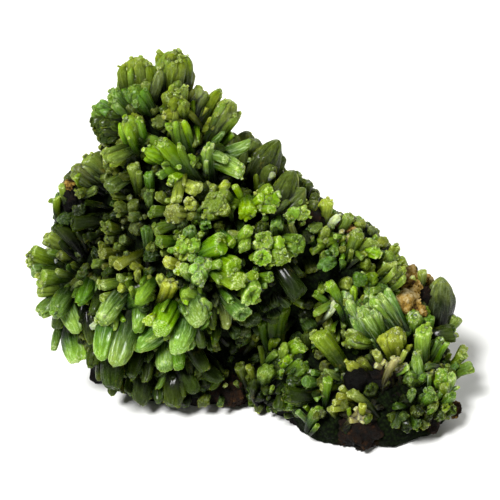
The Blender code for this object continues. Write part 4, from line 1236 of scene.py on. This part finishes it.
def pyromorphite_material(looks, add, shader):
    """Pyromorphite: lead phosphate grown in striated hexagonal columns, resinous and waxy-translucent.

    The tips are the clearest and brightest and are frosted by tiny crystals, with a painted highlight on the
    rims of their ends. The bodies are painted darker towards their feet, as painted shade where they crowd
    together, and silky crystals have a painted sheen of white along their striations.
    """
    fields = {label: add("Attribute", attribute_name=label).outputs for label, _, _ in Growth.FIELDS}
    along, groove, silk = (fields[label]["Fac"] for label in ("along", "groove", "silk"))
    grain, tip, body = fields["grain"]["Vector"], fields["tip_tint"], fields["body_tint"]["Color"]
    # The grain field is in millimetres: striations every 0.3 mm, clouds of 1 mm, grit of 0.25 mm and
    # blots of 2.2 mm.
    stretched = add("VectorMath", {0: grain, 1: (1, 1, 0.1)}, operation="MULTIPLY")
    striae, clouds, grit, blots = (
        add("TexNoise", {"Vector": field, "Scale": scale, "Detail": detail, "Roughness": rough})
        for field, scale, detail, rough in (
            (stretched, 3.3, 4, 0.6), (grain, 1.0, 3, 0.55), (grain, 4.0, 3, 0.65), (grain, 0.45, 4, 0.7)))
    # The body's colour turns to the tip's, and the foot is darkened as painted shade where the crystals crowd
    # together.
    shifted = add("Math", {0: clouds, 1: 0.5, 2: -0.25}, operation="MULTIPLY_ADD")
    place = add("Math", {0: along, 1: shifted}, operation="ADD")
    bright = add("ValToRGB", {"Fac": place}, stops=((0.5, 0.0), (1.0, 1.0)))
    colour = add("Mix", {"Factor": bright, "A": body, "B": tip["Color"]}, **MIX)
    deep = add("ValToRGB", {"Fac": along}, stops=((0.22, 0.05), (0.78, 1.0)))
    shaded = add("Mix", {"Factor": 1.0, "A": colour, "B": deep}, **DARKEN)
    # Striations and grit, and painted shade in the grooves and the deep places of the ends, which darkens
    # silky crystals less.
    streaks = add("ValToRGB", {"Fac": striae}, stops=((0.32, 0.8), (0.55, 1.0)))
    streaked = add("Mix", {"Factor": 1.0, "A": shaded, "B": streaks}, **DARKEN)
    mottle = add("ValToRGB", {"Fac": grit}, stops=((0.36, 0.8), (0.6, 1.0)))
    mottled = add("Mix", {"Factor": 0.5, "A": streaked, "B": mottle}, **DARKEN)
    clear = add("Math", {0: silk, 1: -0.26, 2: 0.3}, operation="MULTIPLY_ADD")
    grooved = add("Math", {0: groove, 1: clear}, operation="MULTIPLY")
    shadowed = add("Mix", {"Factor": grooved, "A": mottled, "B": looks.groove_shade_colour}, **MIX)
    # Painted sheen: pale threads along the striations of silky crystals.
    threads = add("ValToRGB", {"Fac": striae}, stops=((0.5, 0.0), (0.7, 0.55)))
    fading = add("Math", {0: silk, 1: along}, operation="MULTIPLY")
    silky = add("Math", {0: threads, 1: fading}, operation="MULTIPLY")
    with_sheen = add("Mix", {"Factor": silky, "A": shadowed, "B": looks.silk_sheen_colour}, **MIX)
    # Frost of tiny crystals on the ends of bright ones, strongest at the rims, where it also stands for a
    # painted highlight, and iron stains here and there.
    ends = add("MapRange", {"Value": along, "From Min": 0.88, "From Max": 1.0, "To Min": 0.0, "To Max": 0.42})
    frost_and_rim = add("Math", {0: grit, 1: ends}, operation="ADD")
    frosted = add("ValToRGB", {"Fac": frost_and_rim}, stops=((0.74, 0.0), (1.0, 0.78)))
    lit = add("MapRange", {"Value": tip["Fac"], "From Min": 0.03, "From Max": 0.2,
                           "To Min": 0.0, "To Max": 1.0})
    frost_and_rim_share = add("Math", {0: frosted, 1: lit}, operation="MULTIPLY")
    with_frost_and_rim_highlight = add("Mix", {"Factor": frost_and_rim_share, "A": with_sheen, "B": looks.frost_and_rim_highlight_colour}, **MIX)
    stained = add("ValToRGB", {"Fac": blots}, stops=((0.6, 0.0), (0.74, 0.36)))
    stains = add("Mix", {"Factor": stained, "A": with_frost_and_rim_highlight, "B": looks.stain_colour}, **MIX)
    rough = add("MapRange", {"Value": grit, "From Min": 0.35, "From Max": 0.7,
                             "To Min": 0.12, "To Max": 0.55})
    relief = add("Math", {0: striae, 1: grit}, operation="ADD")
    bump = add("Bump", {"Height": relief, "Strength": 0.55, "Distance": 0.2 * MM})
    set_inputs(shader, {
        "Base Color": stains, "Roughness": rough, "Normal": bump, "IOR": 1.5,
        "Subsurface Weight": looks.glow, "Subsurface Radius": (0.95, 1.0, 0.18),
        "Subsurface Scale": 1.5 * MM, "Specular IOR Level": 0.05, "Coat Weight": 0.16,
        "Coat Roughness": 0.14})


def druse_material(looks, add, shader):
    """Druse: a skin of crystals too small to tell apart, dark green and near-black as painted shade in the
    gaps between crystals, sparkling, rusty in patches.
    """
    place = add("TexCoord").outputs["Object"]
    rusty = add("Attribute", attribute_name="rusty").outputs["Fac"]
    # Grains of 0.5 mm and patches of 5 mm.
    grains = add("TexVoronoi", {"Vector": place, "Scale": 1 / (0.5 * MM)})
    patches = add("TexNoise", {"Vector": place, "Scale": 1 / (5 * MM), "Detail": 4, "Roughness": 0.6})
    # Near-black green: the skin's own dark colour, and painted shade in the gaps between the crystals.
    green = add("ValToRGB", {"Fac": grains}, stops=((0.0, linear("131E06")), (0.7, linear("040702"))))
    stain = add("Math", {0: patches, 1: rusty}, operation="ADD")
    share = add("ValToRGB", {"Fac": stain}, stops=((0.62, 0.0), (0.85, 1.0)))
    colour = add("Mix", {"Factor": share, "A": green, "B": looks.rust_colour}, **MIX)
    bump = add("Bump", {"Height": grains, "Strength": 0.8, "Distance": 0.25 * MM})
    set_inputs(shader, {"Base Color": colour, "Normal": bump, "Roughness": 0.8, "IOR": 1.5,
                        "Specular IOR Level": 0.05})


def limonite_material(looks, add, shader):
    """Limonite: earthy iron hydroxide, dull brown to ochre, with faintly shining black manganese films."""
    place = add("TexCoord").outputs["Object"]
    ochre = add("Attribute", attribute_name="ochre").outputs["Fac"]
    # Patches of 3 mm, crumbs of 0.7 mm and dust of 0.25 mm.
    patches, crumbs, dust = (
        add("TexNoise", {"Vector": place, "Scale": 1 / (size * MM), "Detail": detail, "Roughness": rough})
        for size, detail, rough in ((3, 5, 0.65), (0.7, 4, 0.7), (0.25, 2, 0.7)))
    mixed = add("Math", {0: patches, 1: crumbs}, operation="ADD")
    half = add("Math", {0: mixed, 1: 0.5}, operation="MULTIPLY")
    level = add("Math", {0: ochre, 1: 0.3, 2: half}, operation="MULTIPLY_ADD")
    colour = add("ValToRGB", {"Fac": level}, stops=(
        (0.46, linear("060504")), (0.58, linear("170E08")), (0.68, looks.rust_colour),
        (0.78, looks.ochre_colour), (0.9, linear("C2B080"))))
    speck = add("ValToRGB", {"Fac": dust}, stops=((0.7, 0.0), (0.78, 0.12)))
    dusty = add("Mix", {"Factor": speck, "A": colour, "B": linear("B9A98C")}, **MIX)
    relief = add("Math", {0: crumbs, 1: dust}, operation="ADD")
    bump = add("Bump", {"Height": relief, "Strength": 0.9, "Distance": 0.3 * MM})
    rough = add("MapRange", {"Value": level, "From Min": 0.45, "From Max": 0.6,
                             "To Min": 0.55, "To Max": 0.9})
    set_inputs(shader, {"Base Color": dusty, "Roughness": rough, "Normal": bump, "IOR": 1.55,
                        "Specular IOR Level": 0.1})


def paper_material(looks, add, shader):
    """Seamless paper: matte pressed pulp, which shows as an even pale ground."""
    place = add("TexCoord").outputs["Object"]
    # Pulp fibres of 0.5 mm.
    fibres = add("TexNoise", {"Vector": place, "Scale": 1 / (0.5 * MM), "Detail": 3})
    bump = add("Bump", {"Height": fibres, "Strength": 0.05, "Distance": 0.02 * MM})
    set_inputs(shader, {"Normal": bump, "Base Color": looks.paper_colour, "Roughness": 0.9})


MATERIAL_NAMES = {
    pyromorphite_material: "pyromorphite_resinous",
    druse_material: "pyromorphite_druse",
    limonite_material: "limonite_broken",
    paper_material: "seamless_paper",
}


def shared(fill):
    """The material that a function fills with nodes, made once."""
    name = MATERIAL_NAMES[fill]
    material = bpy.data.materials.get(name)
    if material is None:
        material = bpy.data.materials.new(name)
        material.use_nodes = True
        tree = material.node_tree
        fill(bpy.context.scene.specimen, partial(add_node, tree), tree.nodes["Principled BSDF"])
    return material


def colour_property(name, description, code):
    """A colour among the settings, whose default is an sRGB hex value."""
    return FloatVectorProperty(name=name, description=description, subtype="COLOR", size=3,
                               min=0, max=1, default=linear(code))


class SpecimenSettings(PropertyGroup):
    """Sizes and colours that a user would change."""

    # The painted sheen on silky crystals.
    silk_sheen_colour: colour_property("Silk", "Sheen along the striations of silky crystals", "D9EDBE")
    # Painted shade in the grooves between rods and in the deep places of the ends.
    groove_shade_colour: colour_property("Grooves", "Between the rods of a crystal", "141F05")
    # Frost on the ends, and the painted highlight on their rims.
    frost_and_rim_highlight_colour: colour_property("Frost", "Tiny crystals on the ends", "CBD5A2")
    stain_colour: colour_property("Stain", "Iron stains on the crystals", "80792C")
    rust_colour: colour_property("Rust", "Iron stains on the rock and between crystals", "34200F")
    ochre_colour: colour_property("Ochre", "Bare earthy rock", "9A7B34")
    paper_colour: colour_property("Paper", "Colour of the ground", "F4F4F2")
    rock_grid: FloatProperty(name="Rock grid", description="Spacing of the rock's points in millimetres",
                             default=0.5, min=0.1)
    skin_grid: FloatProperty(name="Skin grid", description="Spacing of the skin's points in millimetres",
                             default=0.55, min=0.1)
    glow: FloatProperty(name="Glow", description="How much light passes through the crystals",
                        default=0.9, min=0, max=1, subtype="FACTOR")
    sharp_angle: FloatProperty(name="Sharp edges", description="Angle over which a crystal's edge is crisp",
                               default=math.radians(52), min=0, max=math.pi, subtype="ANGLE")
    key_strength: FloatProperty(name="Key light", description="Strength of the light from the upper left",
                                default=5.0, min=0)
    fill_power: FloatProperty(name="Fill light", description="Power of the lamp from the right",
                              default=0.3, min=0, unit="POWER")
    back_power: FloatProperty(name="Back light", description="Power of the lamp from behind",
                              default=1.3, min=0, unit="POWER")
    lamp_size: FloatProperty(name="Lamp size", description="Diameter of the lamps from the right and behind",
                             default=0.3, min=0.01, unit="LENGTH")
    paper_reach: FloatProperty(name="Paper size", description="Half the width of the ground",
                               default=2.0, min=0.1, unit="LENGTH")


for _, tone_name, tip_code, body_code, _ in TONES:
    words = tone_name.replace("_", " ")
    SpecimenSettings.__annotations__[tone_name + "_tip"] = colour_property(
        words.capitalize() + " tips", "Tips of the " + words + " crystals", tip_code)
    SpecimenSettings.__annotations__[tone_name + "_body"] = colour_property(
        words.capitalize() + " bodies", "Bodies of the " + words + " crystals", body_code)


class SPECIMEN_OT_rock(Operator):
    """Make the limonite rock, with knobs that show through the crystals and a flat to rest on"""

    bl_idname = "specimen.rock"
    bl_label = "Limonite rock"

    def execute(self, context):
        thing = lump_mesh("limonite_rock", 0, KNOBS, context.scene.specimen.rock_grid)
        normals = [vert.normal.copy() for vert in thing.data.vertices]
        ochres = []
        front, back = BARE_OCHRE_LIGHTER_BACK
        for vert, normal in zip(thing.data.vertices, normals):
            near, ochre = nearest_knob(vert.co)
            on_knob = 1 - smooth_step(near, *KNOB_BLENDS)
            rough = crag(vert.co)
            vert.co += normal * (swell(vert.co) + rough * ROCK_CRAG)
            # The shaded back is painted lighter brown: painted light.
            bare = front + (back - front) * smooth_step(vert.co.y, *BARE_OCHRE_TURNS)
            ochres.append(ochre * on_knob + bare * (1 - on_knob) + ROCK_OCHRE_VARIES * rough)
        point_values(thing, "ochre", ochres)
        cut_off(thing, 0)
        finish_piece(thing, shared(limonite_material), "matrix")
        return {"FINISHED"}


class SPECIMEN_OT_bare_rock(Operator):
    """Make the crumbling knobs of rock that show through the crystals"""

    bl_idname = "specimen.bare_rock"
    bl_label = "Bare rock"

    def execute(self, context):
        front, back = KNOBS[:len(ROCK_KNOBS)], KNOBS[len(ROCK_KNOBS):]
        for name, knobs in (("bare_rock_front", front), ("bare_rock_back", back)):
            bm = bmesh.new()
            ochres = []
            for middle, radius, ochre in knobs:
                made = bmesh.ops.create_icosphere(bm, subdivisions=BALL_SUBDIVISIONS, radius=radius)
                for vert in made["verts"]:
                    rough = crag(middle + vert.co)
                    vert.co = middle + vert.co * (1 + rough / radius)
                    ochres.append(ochre + KNOB_OCHRE_VARIES * rough)
            thing = new_object(name, new_mesh(name, bm))
            point_values(thing, "ochre", ochres)
            cut_off(thing, LOWEST_POINT)
            finish_piece(thing, shared(limonite_material), "matrix")
            thing.data.set_sharp_from_angle(angle=context.scene.specimen.sharp_angle)
        return {"FINISHED"}


class SPECIMEN_OT_druse(Operator):
    """Make the drusy skin over the rock and the small crystals that stand on it"""

    bl_idname = "specimen.druse"
    bl_label = "Druse"

    def execute(self, context):
        self.make_skin(context.scene.specimen.skin_grid)
        dice = random.Random(DRUSE_SEED)
        front, back = Growth(), Growth()
        for place, outward in SKIN_MOUND.spread(DRUSE_TRIES, DRUSE_SPACING, self.bears_crystals):
            facing = outward.dot(VIEW.away)
            faced = facing < DRUSE_FRONT
            x, u = VIEW.picture(place)
            # Painted shade in hollows and overhung places dims the front's small crystals.
            left_by_painted_shade = painted_shade_at(x, u) if faced else 1.0
            if dice.random() > left_by_painted_shade + DRUSE_IN_PAINTED_SHADE:
                continue
            for _ in range(dice.choice(DRUSE_COUNTS)):
                tilt = Vector([dice.uniform(-DRUSE_TILT, DRUSE_TILT) for _ in range(3)])
                sway = noise.noise_vector(place / DRUSE_SWAY_SIZE) * DRUSE_SWAY
                way = (outward + sway + tilt).normalized()
                if way.dot(outward) < DRUSE_UPRIGHT:
                    way = (way + outward).normalized()
                tones, reach, dim = self.look_at(x, u, faced)
                tone = dice.choice(tones)
                reach *= 0.5 + 0.5 * smooth_step(abs(facing), *DRUSE_EDGE)
                width = dice.uniform(*DRUSE_WIDTH)
                start = place + outward * (swell(place) - SKIN_SUNK - DRUSE_ROOT)
                length = SKIN_SUNK + DRUSE_ROOT + dice.uniform(*DRUSE_LENGTH) * reach
                tip = within(OUTLINE, start, start + way * length)
                if tip:
                    form = dice.choice(DRUSE_FORMS)
                    tint = tint_of(tone, dice, dim * left_by_painted_shade)
                    add_crystal(front if faced else back, start, tip, width, "flare", form, tint, dice)
        front.build("small_crystals_front")
        back.build("small_crystals_back")
        return {"FINISHED"}

    def bears_crystals(self, place, outward):
        """Whether small crystals stand at a place: not on knobs, low down, or under the toe."""
        x, u = VIEW.picture(place)
        under = outward.dot(VIEW.away) < 0 and x > TOE_FROM and u < DRUSE_LOWEST
        high = over_edge(place) > DRUSE_OVER_EDGE and place.z > DRUSE_OVER_BASE
        return high and nearest_knob(place)[0] > DRUSE_OFF_KNOBS and not under

    def look_at(self, x, u, faced):
        """The tones, the share of the length and the dimming of small crystals at a place; on the front the
        dimming is painted shade among the bigger crystals.
        """
        if not faced:
            return DRUSE_LOOK_BEHIND
        return next(look for least_x, low, high, *look in DRUSE_LOOKS if x > least_x and low < u < high)

    def make_skin(self, grid):
        """The skin over the rock, which sinks into it at its frayed edge and round the knobs."""
        thing = lump_mesh("drusy_skin", SKIN_THICKNESS, (), grid)
        normals = [vert.normal.copy() for vert in thing.data.vertices]
        rusty = []
        for vert, normal in zip(thing.data.vertices, normals):
            fray = noise.noise(vert.co / FRAY_SIZE) * FRAY
            covered = smooth_step(over_edge(vert.co) + fray, *SKIN_FADES)
            near = nearest_knob(vert.co)[0]
            covered *= smooth_step(near + fray * 0.5, *SKIN_FADES_AT_KNOBS)
            druse = noise.noise(vert.co / SKIN_BUMP_SIZE) * SKIN_BUMP
            sunk = (SKIN_THICKNESS + SKIN_HIDDEN) * (1 - covered) + SKIN_SUNK * covered
            vert.co += normal * (swell(vert.co) + druse - sunk)
            rusty.append(RUST * (1 - smooth_step(near, *RUST_FADES)))
        point_values(thing, "rusty", rusty)
        cut_off(thing, LOWEST_POINT)
        finish_piece(thing, shared(druse_material), "crystal_crust")


class SPECIMEN_OT_front_crystals(Operator):
    """Make the crystals of the front, one piece for each part of the specimen"""

    bl_idname = "specimen.front_crystals"
    bl_label = "Front crystals"

    def execute(self, context):
        for number, (region, rows) in enumerate(REGIONS.items()):
            dice = random.Random(FRONT_SEED + number)
            listed, companions = Growth(), Growth()
            for x, u, turn, lean, length, width, tone in rows:
                root, tip = front_ends(x, u, turn, lean, length)
                shape = shape_of(region, tone, width)
                form = dice.choice(REGION_FORMS[region])
                beaded = dice.random() < BEADED[region]
                if tone in DOMED_TONES:
                    form, beaded = "dome", False
                # Painted shade in hollows and overhung places.
                dim = painted_shade_at(x, u)
                least, spread = BUNDLES.get(region, NO_BUNDLE)
                if width >= least:
                    places = add_bundle(listed, root, tip, width, spread, form, tone, dim, dice)
                else:
                    tint = tint_of(tone, dice, dim)
                    girth = width * LISTED_GIRTH
                    places = add_crystal(listed, root, tip, girth, shape, form, tint, dice, FINE)
                if COMPANION_FROM < width < least:
                    add_companions(companions, root, tip, width, shape, form, tone, dim, dice)
                if places and beaded and width > BEADED_FROM:
                    add_beads(companions, places, root, tip, width, tone, dim, dice)
            listed.build(region + "_crystals")
            companions.build(region + "_side_crystals")
        return {"FINISHED"}


class SPECIMEN_OT_back_crystals(Operator):
    """Make the crystals of the hidden sides, in the same places as the solid's"""

    bl_idname = "specimen.back_crystals"
    bl_label = "Back crystals"

    def execute(self, context):
        dice = random.Random(BACK_SEED)
        looks_dice = random.Random(BACK_SEED + 1)
        front = Mound(FRONT_COVER)
        growth = Growth()
        for place, outward in SKIN_MOUND.spread(BACK_TRIES, BACK_SPACING, self.is_hidden):
            tilt = Vector([dice.uniform(-BACK_TILT, BACK_TILT) for _ in range(3)])
            way = (outward + tilt).normalized()
            length = dice.uniform(*BACK_LENGTH)
            width = dice.uniform(*BACK_WIDTH)
            # The solid's column is turned by this draw. These crystals aren't, but keep its order.
            dice.random()
            tips = (place + way * (length * share) for share in BACK_SHORTER)
            tip = next((tip for tip in tips if front.hides(VIEW, tip)), None)
            if tip is None:
                continue
            tone = looks_dice.choice(BACK_TONES)
            root = place - way * ROOT_DEPTH
            tip = within(OUTLINE_BACK, root, tip)
            if tip:
                shape = looks_dice.choice(("flare", "barrel"))
                form = looks_dice.choice(tuple(FORMS))
                tint = tint_of(tone, looks_dice)
                add_crystal(growth, root, tip, width, shape, form, tint, looks_dice, FINE)
                add_companions(growth, root, tip, width, shape, form, tone, 1.0, looks_dice)
        growth.build("back_crystals")
        return {"FINISHED"}

    def is_hidden(self, place, outward):
        """Whether a place faces away from the eye and lies over the crust's edge."""
        return outward.dot(VIEW.away) > BACK_FACING and over_edge(place) > BACK_OVER_EDGE


class SPECIMEN_OT_stage(Operator):
    """Set the paper ground, the soft lamps and the camera"""

    bl_idname = "specimen.stage"
    bl_label = "Stage"

    def execute(self, context):
        scene = context.scene
        looks = scene.specimen
        scene.view_settings.view_transform = "Standard"
        self.make_paper(looks.paper_reach)
        key = self.make_lamp("key_lamp", "SUN", looks.key_strength, KEY_PLACE)
        key.angle = KEY_ANGLE
        for name, power, place in (("fill_lamp", looks.fill_power, FILL_PLACE),
                                   ("back_lamp", looks.back_power, BACK_LAMP_PLACE)):
            lamp = self.make_lamp(name, "AREA", power, place)
            lamp.shape = "DISK"
            lamp.size = looks.lamp_size
        world = bpy.data.worlds.new("studio")
        scene.world = world
        world.use_nodes = True
        set_inputs(world.node_tree.nodes["Background"], {"Color": ROOM_COLOUR, "Strength": ROOM_STRENGTH})
        camera = bpy.data.cameras.new("camera")
        camera.sensor_width = SENSOR_WIDTH
        camera.lens = SENSOR_WIDTH * EYE_DISTANCE / PICTURE_WIDTH
        camera.clip_start = NEAREST_SEEN
        thing = new_object("camera", camera)
        thing.location = VIEW.eye * MM
        thing.rotation_mode = "QUATERNION"
        thing.rotation_quaternion = VIEW.away.to_track_quat("-Z", "Y")
        scene.camera = thing
        return {"FINISHED"}

    def make_paper(self, reach):
        """The level sheet that the specimen stands on."""
        mesh = bpy.data.meshes.new("paper_ground")
        corners = [(-reach, -reach, 0), (reach, -reach, 0), (reach, reach, 0), (-reach, reach, 0)]
        mesh.from_pydata(corners, [], [(0, 1, 2, 3)])
        mesh.materials.append(shared(paper_material))
        new_object("paper_ground", mesh)

    def make_lamp(self, name, kind, power, place):
        """A lamp at a place in metres, which points at the specimen."""
        lamp = bpy.data.lights.new(name, kind)
        lamp.energy = power
        thing = new_object(name, lamp)
        thing.location = place
        thing.rotation_mode = "QUATERNION"
        thing.rotation_quaternion = (PICTURE_PLACE * MM - Vector(place)).to_track_quat("-Z", "Y")
        return lamp


OPERATORS = (
    SPECIMEN_OT_rock,
    SPECIMEN_OT_bare_rock,
    SPECIMEN_OT_druse,
    SPECIMEN_OT_front_crystals,
    SPECIMEN_OT_back_crystals,
    SPECIMEN_OT_stage,
)


class SPECIMEN_PT_panel(Panel):
    """The pieces of the specimen and its settings"""

    bl_label = "Specimen"
    bl_idname = "SPECIMEN_PT_panel"
    bl_space_type = "VIEW_3D"
    bl_region_type = "UI"
    bl_category = "Specimen"

    def draw(self, context):
        looks = context.scene.specimen
        for name in SpecimenSettings.__annotations__:
            self.layout.prop(looks, name)
        for operator in OPERATORS:
            self.layout.operator(operator.bl_idname)


CLASSES = (SpecimenSettings, *OPERATORS, SPECIMEN_PT_panel)


def register():
    for kind in CLASSES:
        bpy.utils.register_class(kind)
    bpy.types.Scene.specimen = PointerProperty(type=SpecimenSettings)


def unregister():
    del bpy.types.Scene.specimen
    for kind in reversed(CLASSES):
        bpy.utils.unregister_class(kind)


def main():
    register()
    bpy.ops.specimen.rock()
    bpy.ops.specimen.bare_rock()
    bpy.ops.specimen.druse()
    bpy.ops.specimen.front_crystals()
    bpy.ops.specimen.back_crystals()
    bpy.ops.specimen.stage()


if __name__ == "__main__":
    main()
